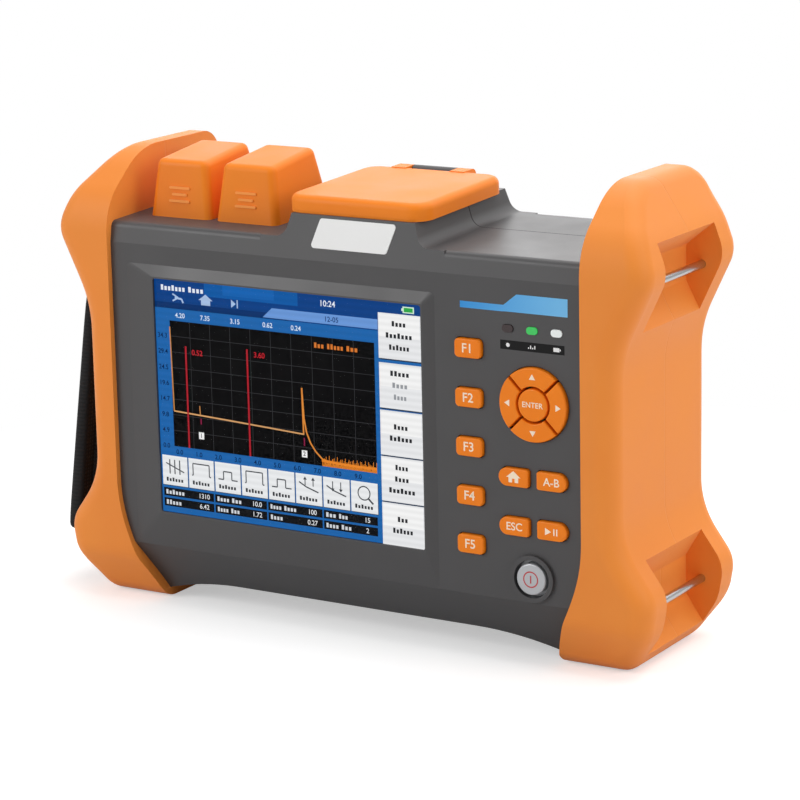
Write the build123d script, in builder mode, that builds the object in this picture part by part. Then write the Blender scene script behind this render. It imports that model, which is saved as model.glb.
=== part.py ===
from build123d import *
from math import atan2, cos, degrees, radians, sin, sqrt, tan
import os

os.makedirs("parts", exist_ok=True)

# Hand-held optical time domain reflectometer, standing on its rubber bumpers.
# X runs to the right of the display, Y from the front to the back, Z up from the table.
# All lengths are in millimetres, all angles in degrees.

# Casing
front_face = 34.5
rear_face = 34.5
panel_half_width = 97.2
panel_wall = 2.5
rear_wall = 7.5
deck_height = 144.7
deck_tilt = 2.2
deck_edge_radius = 2.5
band_drop = 8.7
band_slope = 0.172
toe_height = 23
toe_angle = 28
arch_rise = 8.8
arch_half_flat = 50
foot_inner = 84
foot_rise = 3.4
flank_top = 47
flank_bulge = 0.57
split_depth = 4.5
seal_thickness = 0.6
end_half_width = 104.5
end_step = 2.5
end_corner = 12
end_low = 6
end_drop = 27
end_wall = 3
cavity_low = 11.5
side_wall = 3.2
end_cavity_low = 16
end_cavity_drop = 34

# Tower on the deck, under the flip cover
tower_left = -19.5
tower_right = 31
tower_height = 8.3
tower_slope = 2.5
tower_root_radius = 5
plate_left = -10.8
plate_right = 20.4
plate_low = 4.4
plate_high = 15
plate_slant = 3.6
plate_corner = 1.2
plate_sink = 0.3
plate_thickness = 0.5
plate_play = 0.1

# Display and its raised bezel
window_width = 113
window_height = 87.5
window_x = -21.5
window_z = 80.4
bezel_left = 12.2
bezel_right = 4.8
bezel_top = 4.7
bezel_bottom = 13.6
bezel_raise = 1.5
bezel_lip = 0.8
bezel_land = 0.6
window_ledge = 1.6
window_thickness = 1
window_play = 0.1
window_corner = 1
bezel_corner = 2
display_thickness = 5.2
bracket_margin = 3
bracket_thickness = 1.2
bracket_rail = 9
bracket_ear_x = 62
bracket_ear_z = 30

# Keys
key_raise = 1.6
key_gap = 0.35
key_flange = 0.9
key_flange_thickness = 1.2
key_travel = 0.8
key_crown = 0.6
dome_height = 0.5
dome_radius = 2.5
dome_play = 0.1
dome_slope = 40
function_key_x = 53.4
function_key_z = 110.8
function_key_pitch = 17.36
function_key_width = 10.4
function_key_height = 6.7
function_key_corner = 1.6
function_key_count = 5
soft_key_width = 11.6
soft_key_height = 6.5
soft_key_left_x = 70.7
soft_key_right_x = 85.5
soft_key_corner = 1
soft_key_high_z = 67.3
soft_key_low_z = 49.9
pad_x = 78.6
pad_z = 93.5
pad_radius = 13
pad_inner_radius = 6.5
pad_split = 0.9
enter_radius = 5.7
power_inset = 6.8
power_z = 31.9
power_radius = 5.6
power_ring_radius = 8.4
power_ring_wall = 1.6
power_ring_raise = 1.2
power_boss_reach = 13.2
lens_width = 4.2
lens_height = 2.6
lens_z = 119
lens_x = 78
lens_pitch = 9.4
lens_raise = 0.4
lens_corner = 1.2
keypad_left = 45.5
keypad_right = 92
keypad_low = 25
keypad_high = 124
keypad_step_z = 38
keypad_slant_z = 46
keypad_boss_inset = 4
keypad_boss_drop = 11.5

# Circuit boards and modules
board_thickness = 1.6
board_hole_play = 0.25
small_boss_radius = 2.5
small_screw_radius = 1
small_screw_head = 1.9
small_screw_head_height = 1.2
small_screw_bite = 2.2
screw_hole_spare = 0.5
main_board_depth = 10
main_board_half_width = 93
main_board_low = 27
main_board_high = 134
main_board_notch = 124
main_board_notch_left = -24
main_board_notch_right = 36
post_x = 89
post_low_z = 32
post_high_z = 129
post_radius = 3.5
screw_radius = 1.5
screw_head_radius = 2.75
screw_head_height = 2.4
screw_play = 0.05
screw_bite = 9
screw_sink = 4
optical_box_width = 70
optical_box_height = 58
optical_box_depth = 15
optical_box_x = -49
optical_box_z = 78

# Optical ports
port_x = -76
port_pitch = 29
port_depth = -4
flange_width = 18
flange_length = 13
flange_thickness = 2.2
barrel_radius = 4
barrel_height = 11
barrel_bore = 3.1
barrel_bore_depth = 9
sleeve_radius = 2.2
tail_radius = 4.5
tail_length = 10
ferrule_radius = 1.25
port_screw_reach = 7.2
port_play = 0.2
laser_radius = 4.5
laser_length = 20

# Port caps
cap_width = 27
cap_top_width = 21.5
cap_front = -20.5
cap_rear = 16.7
cap_corner = 3
cap_top_front = -17.5
cap_top_rear = 11.5
cap_height_front = 20.6
cap_height_rear = 23
cap_wall = 2.2
cap_edge = 2.6
grip_width = 9
grip_short = 6.5
grip_thickness = 0.9
grip_raise = 0.5
grip_pitch = 2.4
grip_height = 8.5
hinge_pin_radius = 1
hinge_play = 0.05
hinge_gap = 0.3
cap_hinge_depth = 19.6
cap_hinge_height = 2.6
cap_hinge_radius = 2.4
cap_lug_width = 8
cap_ear_width = 4

# Flip cover and the interface bay below it
cover_left = -23
cover_right = 34
cover_front = -30.5
cover_rear = 27.4
cover_corner = 7
cover_thickness = 6.2
cover_skin = 2.2
cover_rim = 3
cover_edge = 2.6
cover_hinge_depth = 30.4
cover_hinge_height = 12.2
cover_hinge_radius = 2.6
cover_knuckle_width = 6
cover_knuckle_spread = 12.3
cover_knuckle_x = 3.2
bay_left = -15
bay_right = 27
bay_front = -22
bay_rear = 22
bay_floor = -1.5
tray_wall = 1.5
tray_play = 0.2
tray_flange = 2
tray_flange_thickness = 0.8
jack_rise = 1
jack_drop = 11
socket_play = 0.3
interface_board_margin = 2
bay_cut = 30

# Bumpers
bumper_proud = 2.3
bumper_rise = 23.3
bumper_round = 7.5
sole_half_width = 100.9
flare_x = 120.5
flare_z = 15
lobe_x = 122.7
lobe_low_z = 28
lobe_drop = 29
lobe_radius = 12
waist_half_width = 109.5
waist_low_z = 46
waist_drop = 56.5
waist_low_radius = 30
waist_high_radius = 40
shoulder_x = 118.3
shoulder_drop = 17
crown_x = 103
outline_spare = 6
tip_radius = 1
flare_radius = 20
shoulder_radius = 30
outline_below = 14
nose_drop = 19
nose_radius = 22
brow_depth = -14
brow_radius = 30
heel_radius = 10
sole_reach = 26.8
sole_rise = 18
sole_radius = 10
pocket_floor = 108
pocket_half_depth = 21.7
pocket_high_low = 129
pocket_high_top = 141.5
pocket_low_low = 16
pocket_low_top = 30
pocket_reach = 17
pocket_corner = 2
pocket_high_fall = 1.9
pocket_high_rise = 0.8
pocket_low_fall = 1.46
pocket_low_rise = 1.67
bar_x = 114
bar_low_z = 22
bar_high_z = 135
bar_radius = 1.5
bar_seat = 3

# Hand strap on the left
strap_width = 26
strap_thickness = 2
strap_loop_play = 0.4
pad_half_depth = 19
pad_thickness = 5
pad_top_x = 117.1
pad_top_z = 113
pad_bottom_x = 129.7
pad_bottom_z = 16.5
pad_corner = 2
strap_turn_z = 20.3

# Battery and its door
door_width = 104
door_height = 44
door_z = 59
door_thickness = 2.5
door_play = 0.25
door_ledge = 6
battery_play = 0.5
battery_depth = 21
battery_wall = 1.5
battery_corner = 3
door_screw_inset = 3
door_screw_radius = 1.25
door_screw_head = 2.3
door_screw_bite = 4

# Tilt stand
stand_half_width = 64
stand_bar = 9
stand_low = 25
stand_thickness = 3
stand_play = 0.4
stand_hinge_z = 108
stand_hinge_depth = 32.8
stand_pin_radius = 0.8
stand_grip_width = 24
stand_grip_low = 17
stand_pin_seat = 2.5

# Reference planes
back = Plane(origin=(0, rear_face, 0), x_dir=(-1, 0, 0), z_dir=(0, 1, 0))
deck_up = Vector(0, -sin(radians(deck_tilt)), cos(radians(deck_tilt)))
deck = Plane(origin=(0, 0, deck_height), x_dir=(1, 0, 0), z_dir=deck_up)
deck_front = Plane(origin=deck.origin, x_dir=(1, 0, 0), z_dir=-deck.y_dir)
deck_side = Plane(origin=deck.origin, x_dir=deck.y_dir, z_dir=(1, 0, 0))
wide = 300

# Levels of the casing and the bumpers that follow from the sizes above
band_height = deck_height - band_drop
bumper_depth = front_face + bumper_proud
bumper_height = deck_height + bumper_rise
power_x = foot_inner - power_inset


def at_depth(depth):
    """Plane that faces the front, at the given depth."""
    return Plane.XZ.offset(-depth)


def at_width(x):
    """Plane that faces right, across the deck's side view, at the given width."""
    return deck_side.offset(x)


def block(plane, left, right, low, high, length, mode=Mode.ADD):
    """Box that stands on a plane, its rectangle given by its four sides."""
    with BuildSketch(plane) as outline:
        with Locations(((left + right) / 2, (low + high) / 2)):
            Rectangle(right - left, high - low)
    extrude(outline.sketch, amount=length, mode=mode)


def rod(plane, x, y, radius, length, mode=Mode.ADD):
    """Round rod that stands on a plane."""
    with BuildSketch(plane) as outline:
        with Locations((x, y)):
            Circle(radius)
    extrude(outline.sketch, amount=length, mode=mode)


def save(builder, name):
    """Label a finished piece and write its file."""
    builder.part.label = name
    export_step(builder.part, f"parts/{name}.step")


# Casing outline seen from the side: sloped toe, upright panel, leaning band and tilted deck
toe_run = toe_height * tan(radians(toe_angle))
deck_rise = tan(radians(deck_tilt))


def side_outline(top):
    """Side profile of the casing, closed at the given height over the deck."""
    lean = band_slope * (deck_height + top - band_height)
    front_top = (front_face - lean) / (1 - band_slope * deck_rise)
    rear_top = (rear_face - lean) / (1 + band_slope * deck_rise)
    Polyline(
        (toe_run - front_face, 0),
        (-front_face, toe_height),
        (-front_face, band_height),
        (-front_top, deck_height + top - front_top * deck_rise),
        (rear_top, deck_height + top + rear_top * deck_rise),
        (rear_face, band_height),
        (rear_face, toe_height),
        (rear_face - toe_run, 0),
        close=True,
    )


def flank_curve():
    """Edge between the front panel and the right bumper, from the foot up to the upright part."""
    return Spline(
        (foot_inner, foot_rise),
        (foot_inner + (panel_half_width - foot_inner) * flank_bulge, toe_height - 1),
        (panel_half_width, flank_top),
        tangents=((0.3, 1), (0, 1)),
    )


with BuildPart() as tower_form:
    root_left = tower_left - tower_slope
    root_right = tower_right + tower_slope
    with BuildSketch(deck_front) as tower_sketch:
        with BuildLine():
            Polyline(
                (root_left - tower_root_radius * 2, -tower_height),
                (root_left - tower_root_radius * 2, 0),
                (root_left, 0),
                (tower_left, tower_height),
                (tower_right, tower_height),
                (root_right, 0),
                (root_right + tower_root_radius * 2, 0),
                (root_right + tower_root_radius * 2, -tower_height),
                close=True,
            )
        make_face()
        roots = tower_sketch.vertices().filter_by(lambda v: abs(v.Y) < 0.01).sort_by(Axis.X)
        fillet(roots[1:3], tower_root_radius)
    extrude(amount=wide, both=True)
    with BuildSketch(Plane.YZ):
        with BuildLine():
            side_outline(tower_height * 2)
        make_face()
    extrude(amount=wide, both=True, mode=Mode.INTERSECT)

with BuildPart() as end_form:
    # The casing's ends are stepped in, so that the bumpers' lips close over them
    with BuildSketch(Plane.XZ) as end_sketch:
        with BuildLine():
            Polyline(
                (foot_inner - end_step, end_low),
                (end_half_width, end_low),
                (end_half_width, bumper_height - end_drop),
                (foot_inner - end_step, bumper_height - end_drop),
                close=True,
            )
        make_face()
        outer_corners = end_sketch.vertices().sort_by(Axis.X)[2:]
        fillet(outer_corners, end_corner)
        mirror(about=Plane.YZ)
    extrude(amount=front_face, both=True)
    with BuildSketch(Plane.YZ):
        with BuildLine():
            side_outline(0)
        make_face()
        offset(amount=-end_step, kind=Kind.INTERSECTION, mode=Mode.REPLACE)
    extrude(amount=wide, both=True, mode=Mode.INTERSECT)

with BuildPart() as case_form:
    with BuildSketch(Plane.XZ):
        with BuildLine():
            flank = flank_curve()
            Line(flank @ 1, (panel_half_width, wide))
            Line((panel_half_width, wide), (0, wide))
            sole = Line((0, arch_rise), (arch_half_flat, arch_rise))
            TangentArc(sole @ 1, flank @ 0, tangent=sole % 1)
            mirror(about=Plane.YZ)
        make_face()
    extrude(amount=wide, both=True)
    with BuildSketch(Plane.YZ):
        with BuildLine():
            side_outline(0)
        make_face()
    extrude(amount=wide, both=True, mode=Mode.INTERSECT)
    deck_face = case_form.faces().sort_by(Axis(deck.origin, deck_up))[-1]
    fillet(deck_face.edges().filter_by(Axis.X), deck_edge_radius)
    add(tower_form.part)
    add(end_form.part)

# Hollow of the casing; the rear wall is thick enough for the sunk stand and battery door
cavity_rear = rear_face - rear_wall
with BuildPart() as cavity_form:
    with BuildSketch(Plane.YZ):
        with BuildLine():
            side_outline(0)
        make_face()
        offset(amount=-panel_wall, kind=Kind.INTERSECTION, mode=Mode.REPLACE)
    extrude(amount=wide, both=True)
    with BuildSketch(at_depth(cavity_rear)):
        with BuildLine():
            Polyline(
                (side_wall - panel_half_width, wide),
                (side_wall - panel_half_width, flank_top),
                (-foot_inner, cavity_low),
                (foot_inner, cavity_low),
                (panel_half_width - side_wall, flank_top),
                (panel_half_width - side_wall, wide),
                close=True,
            )
        make_face()
    extrude(amount=rear_face * 2, mode=Mode.INTERSECT)
    end_hollow = end_half_width - end_wall
    end_depth = front_face - end_step - panel_wall
    end_cavity_high = bumper_height - end_cavity_drop
    block(at_depth(cavity_rear), -end_hollow, end_hollow, end_cavity_low, end_cavity_high,
          cavity_rear + end_depth)

# Levels behind the front panel, measured from the front to the back
panel_inside = panel_wall - front_face
key_back = panel_inside + key_flange_thickness
keypad_front = key_back + key_travel + dome_play + dome_height
keypad_rear = keypad_front + board_thickness
bezel_front = -front_face - bezel_raise
window_front = bezel_front + bezel_lip
display_front = window_front + window_thickness
display_rear = display_front + display_thickness
bracket_rear = display_rear + bracket_thickness
main_board_front = -main_board_depth
main_board_rear = main_board_front + board_thickness
screw_seat = rear_face - screw_sink


def function_outline(grow):
    """Outline of a function key."""
    RectangleRounded(
        function_key_width + 2 * grow, function_key_height + 2 * grow, function_key_corner + grow
    )


def soft_outline(side):
    """Outline of a key that is round on its left (-1) or right (1) side."""

    def draw(grow):
        SlotOverall(soft_key_width + 2 * grow, soft_key_height + 2 * grow)
        with Locations((-side * soft_key_width / 4, 0)):
            RectangleRounded(
                soft_key_width / 2 + 2 * grow, soft_key_height + 2 * grow, soft_key_corner + grow
            )

    return draw


def quadrant_outline(turn):
    """Outline of one arrow key, a quarter of the ring that faces the given way."""

    def draw(grow):
        Circle(pad_radius + grow)
        Circle(pad_inner_radius, mode=Mode.SUBTRACT)
        tip = pad_split / sqrt(2)
        reach = pad_radius * 2
        Polygon(
            (tip, 0),
            (tip + reach, -reach),
            (tip + reach, reach),
            rotation=turn,
            align=None,
            mode=Mode.INTERSECT,
        )

    return draw


def enter_outline(grow):
    """Outline of the enter key."""
    Circle(enter_radius)


def power_outline(grow):
    """Outline of the power key; its flange reaches under the ring round it."""
    Circle(power_radius if grow == 0 else power_ring_radius - power_ring_wall + grow)


def lens_outline(grow):
    """Outline of an indicator lens."""
    RectangleRounded(lens_width + 2 * grow, lens_height + 2 * grow, lens_corner + grow)


def make_key(name, x, z, draw):
    """Key cap that slides in the front panel and is kept in by the flange behind it."""
    with BuildPart() as key:
        with BuildSketch(at_depth(key_back)):
            with Locations((x, z)):
                draw(key_flange)
        extrude(amount=key_flange_thickness)
        with BuildSketch(at_depth(panel_inside)):
            with Locations((x, z)):
                draw(0)
        extrude(amount=panel_wall + key_raise)
        crown = key.faces().sort_by(Axis.Y)[0].edges()
        fillet(crown, key_crown)
    save(key, name)


def function_height(number):
    """Height of a function key's middle, numbered from the top."""
    return function_key_z - function_key_pitch * number


for number in range(function_key_count):
    make_key(f"f{number + 1}_key", function_key_x, function_height(number), function_outline)
make_key("right_key", pad_x, pad_z, quadrant_outline(0))
make_key("up_key", pad_x, pad_z, quadrant_outline(90))
make_key("left_key", pad_x, pad_z, quadrant_outline(180))
make_key("down_key", pad_x, pad_z, quadrant_outline(270))
make_key("enter_key", pad_x, pad_z, enter_outline)
make_key("home_key", soft_key_left_x, soft_key_high_z, soft_outline(-1))
make_key("marker_key", soft_key_right_x, soft_key_high_z, soft_outline(1))
make_key("escape_key", soft_key_left_x, soft_key_low_z, soft_outline(-1))
make_key("run_key", soft_key_right_x, soft_key_low_z, soft_outline(1))
make_key("power_key", power_x, power_z, power_outline)

lens_names = ["alarm_lens", "status_lens", "charge_lens"]
for number, name in enumerate(lens_names):
    with BuildPart() as lens:
        lens_place = (lens_x + lens_pitch * (number - 1), lens_z)
        with BuildSketch(at_depth(keypad_front)):
            with Locations(lens_place):
                lens_outline(key_flange)
        extrude(amount=keypad_front - panel_inside)
        with BuildSketch(at_depth(panel_inside)):
            with Locations(lens_place):
                lens_outline(0)
        extrude(amount=panel_wall + lens_raise)
    save(lens, name)

# Bosses for the keypad board: between the function keys, beside the power key, over the arrow keys
keypad_bosses = [
    (function_key_x, function_height(0.5)),
    (pad_x, (soft_key_high_z + soft_key_low_z) / 2),
    (keypad_right - keypad_boss_inset, keypad_high - keypad_boss_drop),
    (power_x - power_boss_reach, power_z),
]

with BuildPart() as keypad_board:
    with BuildSketch(at_depth(keypad_rear)):
        with BuildLine():
            Polyline(
                (keypad_left, keypad_low),
                (foot_inner, keypad_low),
                (foot_inner, keypad_step_z),
                (keypad_right, keypad_slant_z),
                (keypad_right, keypad_high),
                (keypad_left, keypad_high),
                close=True,
            )
        make_face()
        with Locations(*keypad_bosses):
            Circle(small_screw_radius + board_hole_play, mode=Mode.SUBTRACT)
    extrude(amount=board_thickness)
    dome_ring = (pad_radius + pad_inner_radius) / 2
    with BuildSketch(at_depth(keypad_front)):
        for number in range(function_key_count):
            with Locations((function_key_x, function_height(number))):
                Circle(dome_radius)
        with Locations((pad_x, pad_z)):
            Circle(dome_radius)
            with PolarLocations(dome_ring, 4):
                Circle(dome_radius)
        for x in (soft_key_left_x, soft_key_right_x):
            with Locations((x, soft_key_high_z), (x, soft_key_low_z)):
                Circle(dome_radius)
        with Locations((power_x, power_z)):
            Circle(dome_radius)
    extrude(amount=dome_height, taper=dome_slope)
save(keypad_board, "keypad_board")


def small_screws(name, places, seat, sheet):
    """Screws that hold a board or bracket on its bosses, their heads at the back."""
    with BuildPart() as screws:
        for place in places:
            rod(at_depth(seat), place[0], place[1], small_screw_radius, sheet + small_screw_bite)
            rod(at_depth(seat + small_screw_head_height), place[0], place[1], small_screw_head,
                small_screw_head_height)
    save(screws, name)


small_screws("keypad_screws", keypad_bosses, keypad_rear, board_thickness)

# Window, display and the bracket that clamps them to the front casing
display_left = window_x - window_width / 2 - window_ledge + window_play
display_right = window_x + window_width / 2 + window_ledge - window_play
display_low = window_z - window_height / 2 - window_ledge + window_play
display_high = window_z + window_height / 2 + window_ledge - window_play
bracket_places = [
    (window_x + side * bracket_ear_x, window_z + level * bracket_ear_z)
    for side in (-1, 1)
    for level in (-1, 1)
]

with BuildPart() as display_window:
    block(at_depth(display_front), display_left, display_right, display_low, display_high, window_thickness)
save(display_window, "display_window")

with BuildPart() as display_panel:
    block(at_depth(display_rear), display_left, display_right, display_low, display_high, display_thickness)
save(display_panel, "display_panel")

with BuildPart() as display_bracket:
    bracket_left = display_left - bracket_margin
    bracket_right = display_right + bracket_margin
    bracket_low = display_low - bracket_margin
    bracket_high = display_high + bracket_margin
    block(at_depth(bracket_rear), bracket_left, bracket_right, bracket_low, bracket_high, bracket_thickness)
    block(
        at_depth(bracket_rear),
        bracket_left + bracket_rail,
        bracket_right - bracket_rail,
        bracket_low + bracket_rail,
        bracket_high - bracket_rail,
        bracket_thickness,
        mode=Mode.SUBTRACT,
    )
    with BuildSketch(at_depth(bracket_rear)):
        with Locations(*bracket_places):
            Circle(small_boss_radius + board_hole_play)
    extrude(amount=bracket_thickness)
    with BuildSketch(at_depth(bracket_rear)):
        with Locations(*bracket_places):
            Circle(small_screw_radius + board_hole_play)
    extrude(amount=bracket_thickness, mode=Mode.SUBTRACT)
save(display_bracket, "display_bracket")

small_screws("bracket_screws", bracket_places, bracket_rear, bracket_thickness)

# Main board with the optical test module on its rear
post_places = [(side * post_x, level) for side in (-1, 1) for level in (post_low_z, post_high_z)]
with BuildPart() as main_board:
    block(
        at_depth(main_board_rear),
        -main_board_half_width,
        main_board_half_width,
        main_board_low,
        main_board_high,
        board_thickness,
    )
    block(
        at_depth(main_board_rear),
        main_board_notch_left,
        main_board_notch_right,
        main_board_notch,
        main_board_high,
        board_thickness,
        mode=Mode.SUBTRACT,
    )
    with BuildSketch(at_depth(main_board_rear)):
        with Locations(*post_places):
            Circle(screw_radius + board_hole_play)
    extrude(amount=board_thickness, mode=Mode.SUBTRACT)
save(main_board, "main_board")

with BuildPart() as optical_module:
    block(
        at_depth(main_board_rear + optical_box_depth),
        optical_box_x - optical_box_width / 2,
        optical_box_x + optical_box_width / 2,
        optical_box_z - optical_box_height / 2,
        optical_box_z + optical_box_height / 2,
        optical_box_depth,
    )
    module_rims = optical_module.faces().sort_by(Axis.Y)[-1].edges()
    chamfer(module_rims, panel_wall / 2)
save(optical_module, "optical_module")

with BuildPart() as case_screws:
    for place in post_places:
        shank = screw_seat - main_board_front + screw_bite
        rod(at_depth(screw_seat), place[0], place[1], screw_radius, shank)
        rod(at_depth(screw_seat + screw_head_height), place[0], place[1], screw_head_radius, screw_head_height)
    with BuildSketch(at_depth(screw_seat + screw_head_height)):
        with Locations(*post_places):
            RegularPolygon(screw_radius, 6)
    extrude(amount=screw_head_height / 2, mode=Mode.SUBTRACT)
save(case_screws, "case_screws")

# Optical ports: bulkhead adapters screwed to the deck, each with a hollow barrel round its sleeve
port_places = [port_x, port_x + port_pitch]
port_names = ["otdr", "vfl"]
flange_front = port_depth - flange_length / 2
flange_rear = port_depth + flange_length / 2
for name, x in zip(port_names, port_places):
    with BuildPart() as port:
        block(deck, x - flange_width / 2, x + flange_width / 2, flange_front, flange_rear, flange_thickness)
        upright = port.edges().filter_by(Axis(deck.origin, deck_up))
        fillet(upright, window_corner)
        rod(deck.offset(flange_thickness), x, port_depth, barrel_radius, barrel_height)
        rod(deck.offset(-tail_length), x, port_depth, tail_radius, tail_length)
        barrel_top = flange_thickness + barrel_height
        rod(deck.offset(barrel_top - barrel_bore_depth), x, port_depth, barrel_bore, barrel_bore_depth,
            mode=Mode.SUBTRACT)
        rod(deck.offset(barrel_top - barrel_bore_depth), x, port_depth, sleeve_radius, barrel_bore_depth)
        rod(deck.offset(-tail_length), x, port_depth, ferrule_radius, tail_length + barrel_top,
            mode=Mode.SUBTRACT)
        with BuildSketch(deck):
            with Locations((x - port_screw_reach, port_depth), (x + port_screw_reach, port_depth)):
                Circle(small_screw_radius + port_play)
        extrude(amount=flange_thickness, mode=Mode.SUBTRACT)
    save(port, f"{name}_port")

port_screw_places = [(x + side * port_screw_reach, port_depth) for x in port_places for side in (-1, 1)]
with BuildPart() as port_screws:
    with BuildSketch(deck.offset(-panel_wall)):
        with Locations(*port_screw_places):
            Circle(small_screw_radius)
    extrude(amount=panel_wall + flange_thickness)
    with BuildSketch(deck.offset(flange_thickness)):
        with Locations(*port_screw_places):
            Circle(small_screw_head)
    extrude(amount=small_screw_head_height)
save(port_screws, "port_screws")

with BuildPart() as laser_module:
    rod(deck.offset(-tail_length - laser_length), port_places[1], port_depth, laser_radius, laser_length)
save(laser_module, "laser_module")


def cap_body(x, shrink):
    """Leaning block of a port cap, made smaller all round by the given wall."""
    with BuildPart() as body:
        with BuildSketch(deck_front):
            with BuildLine():
                Polyline(
                    (x - cap_width / 2 + shrink, 0),
                    (x + cap_width / 2 - shrink, 0),
                    (x + cap_top_width / 2 - shrink, cap_height_rear),
                    (x - cap_top_width / 2 + shrink, cap_height_rear),
                    close=True,
                )
            make_face()
        extrude(amount=wide, both=True)
        with BuildSketch(deck_side):
            with BuildLine():
                Polyline(
                    (cap_front + shrink, 0),
                    (cap_rear - shrink, 0),
                    (cap_top_rear - shrink, cap_height_rear - shrink),
                    (cap_top_front + shrink, cap_height_front - shrink),
                    close=True,
                )
            make_face()
        extrude(amount=wide, both=True, mode=Mode.INTERSECT)
        if shrink == 0:
            walls = body.edges().filter_by(lambda e: abs((e @ 0).Z - (e @ 1).Z) > cap_height_front / 2)
            fillet(walls, cap_corner)
            crown = body.faces().sort_by(Axis.Z)[-1].edges()
            fillet(crown, cap_edge)
    return body.part


cap_pivot = (cap_hinge_depth, cap_hinge_height)
cover_pivot = (cover_hinge_depth, cover_hinge_height)


def knuckle(x, width, pivot, radius, reach, mode=Mode.ADD):
    """Hinge knuckle: a round eye and the web that joins it to the piece at the given depth."""
    eye_drop = pivot[1] - radius
    rod(at_width(x - width / 2), pivot[0], pivot[1], radius, width, mode=mode)
    block(at_width(x - width / 2), reach, pivot[0], eye_drop, pivot[1] + radius, width, mode=mode)


def ear(x, width, pivot, radius, floor):
    """Hinge ear on the casing: an upright from the given floor up to its round eye."""
    rod(at_width(x - width / 2), pivot[0], pivot[1], radius, width)
    block(at_width(x - width / 2), pivot[0] - radius, pivot[0] + radius, floor, pivot[1], width)


for name, x in zip(port_names, port_places):
    with BuildPart() as cap:
        add(cap_body(x, 0))
        lean = (cap_top_front - cap_front) / cap_height_front
        grip_plane = Plane(
            origin=deck.origin + deck.y_dir * cap_front,
            x_dir=(1, 0, 0),
            z_dir=deck_up * lean - deck.y_dir,
        )
        with BuildSketch(grip_plane.offset(-cap_wall / 2)):
            with Locations((x, grip_height)):
                SlotOverall(grip_short, grip_thickness)
            with Locations((x, grip_height + grip_pitch), (x, grip_height - grip_pitch)):
                SlotOverall(grip_width, grip_thickness)
        extrude(amount=cap_wall / 2 + grip_raise)
        knuckle(x, cap_lug_width, cap_pivot, cap_hinge_radius, cap_rear - cap_wall)
        add(cap_body(x, cap_wall), mode=Mode.SUBTRACT)
        rod(at_width(x - cap_lug_width / 2), cap_pivot[0], cap_pivot[1], hinge_pin_radius + hinge_play,
            cap_lug_width, mode=Mode.SUBTRACT)
    save(cap, f"{name}_cap")

cap_ear_reach = cap_lug_width / 2 + hinge_gap + cap_ear_width
with BuildPart() as cap_pins:
    for x in port_places:
        rod(at_width(x - cap_ear_reach), cap_pivot[0], cap_pivot[1], hinge_pin_radius, cap_ear_reach * 2)
save(cap_pins, "cap_pins")

# Flip cover over the interface bay: a hollow lid on two knuckles
with BuildPart() as flip_cover:
    block(deck.offset(tower_height), cover_left, cover_right, cover_front, cover_rear, cover_thickness)
    upright = flip_cover.edges().filter_by(Axis(deck.origin, deck_up))
    fillet(upright, cover_corner)
    crown = flip_cover.faces().sort_by(Axis(deck.origin, deck_up))[-1].edges()
    fillet(crown, cover_edge)
    for side in (-1, 1):
        knuckle(
            cover_knuckle_x + side * cover_knuckle_spread,
            cover_knuckle_width,
            cover_pivot,
            cover_hinge_radius,
            cover_rear - cover_rim,
        )
    block(
        deck.offset(tower_height),
        cover_left + cover_rim,
        cover_right - cover_rim,
        cover_front + cover_rim,
        cover_rear - cover_rim,
        cover_thickness - cover_skin,
        mode=Mode.SUBTRACT,
    )
    rod(at_width(cover_left), cover_pivot[0], cover_pivot[1], hinge_pin_radius + hinge_play,
        cover_right - cover_left, mode=Mode.SUBTRACT)
save(flip_cover, "flip_cover")

cover_pin_reach = cover_knuckle_spread + cover_knuckle_width / 2
with BuildPart() as cover_pin:
    rod(at_width(cover_knuckle_x - cover_pin_reach), cover_pivot[0], cover_pivot[1], hinge_pin_radius,
        cover_pin_reach * 2)
save(cover_pin, "cover_pin")

# Sockets of the interface bay, each given by its middle and its size on the tray's floor
usb_size = (13.2, 5.8)
usb_opening = (12.2, 4.6)
usb_tongue = (10.5, 1.8)
usb_tongue_shift = 1
usb_places = [(-4.5, -5.5), (-4.5, -14.5)]
usb_device_size = (12, 11)
usb_device_opening = (8.4, 7.6)
usb_device_tongue = (5.6, 3.2)
usb_device_place = (15, 11.5)
network_size = (16, 13.5)
network_opening = (11.7, 8.5)
latch_opening = (4, 2)
latch_shift = 4.8
latch_depth = 6
network_place = (-4.5, 11)
supply_size = (9, 11)
supply_bore = 3
supply_pin = 1
supply_place = (15, -10)
socket_depth = 9
tongue_drop = 1.5
socket_foot = -jack_drop
socket_length = jack_drop + jack_rise
tray_post_places = [(-11, 0.7), (23, 0.7)]


def socket_shell(places, size):
    """Outer box of a socket, from the interface board up through the tray's floor."""
    with BuildSketch(deck.offset(socket_foot)) as outline:
        with Locations(*places):
            Rectangle(size[0], size[1])
    extrude(outline.sketch, amount=socket_length)


def socket_hole(places, size, depth):
    """Rectangular hollow of a socket, cut from its top."""
    with BuildSketch(deck.offset(jack_rise - depth)) as outline:
        with Locations(*places):
            Rectangle(size[0], size[1])
    extrude(outline.sketch, amount=depth, mode=Mode.SUBTRACT)


with BuildPart() as usb_sockets:
    socket_shell(usb_places, usb_size)
    socket_hole(usb_places, usb_opening, socket_depth)
    for place in usb_places:
        with BuildSketch(deck.offset(socket_foot)):
            with Locations((place[0], place[1] + usb_tongue_shift)):
                Rectangle(usb_tongue[0], usb_tongue[1])
        extrude(amount=socket_length - tongue_drop)
save(usb_sockets, "usb_sockets")

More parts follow.
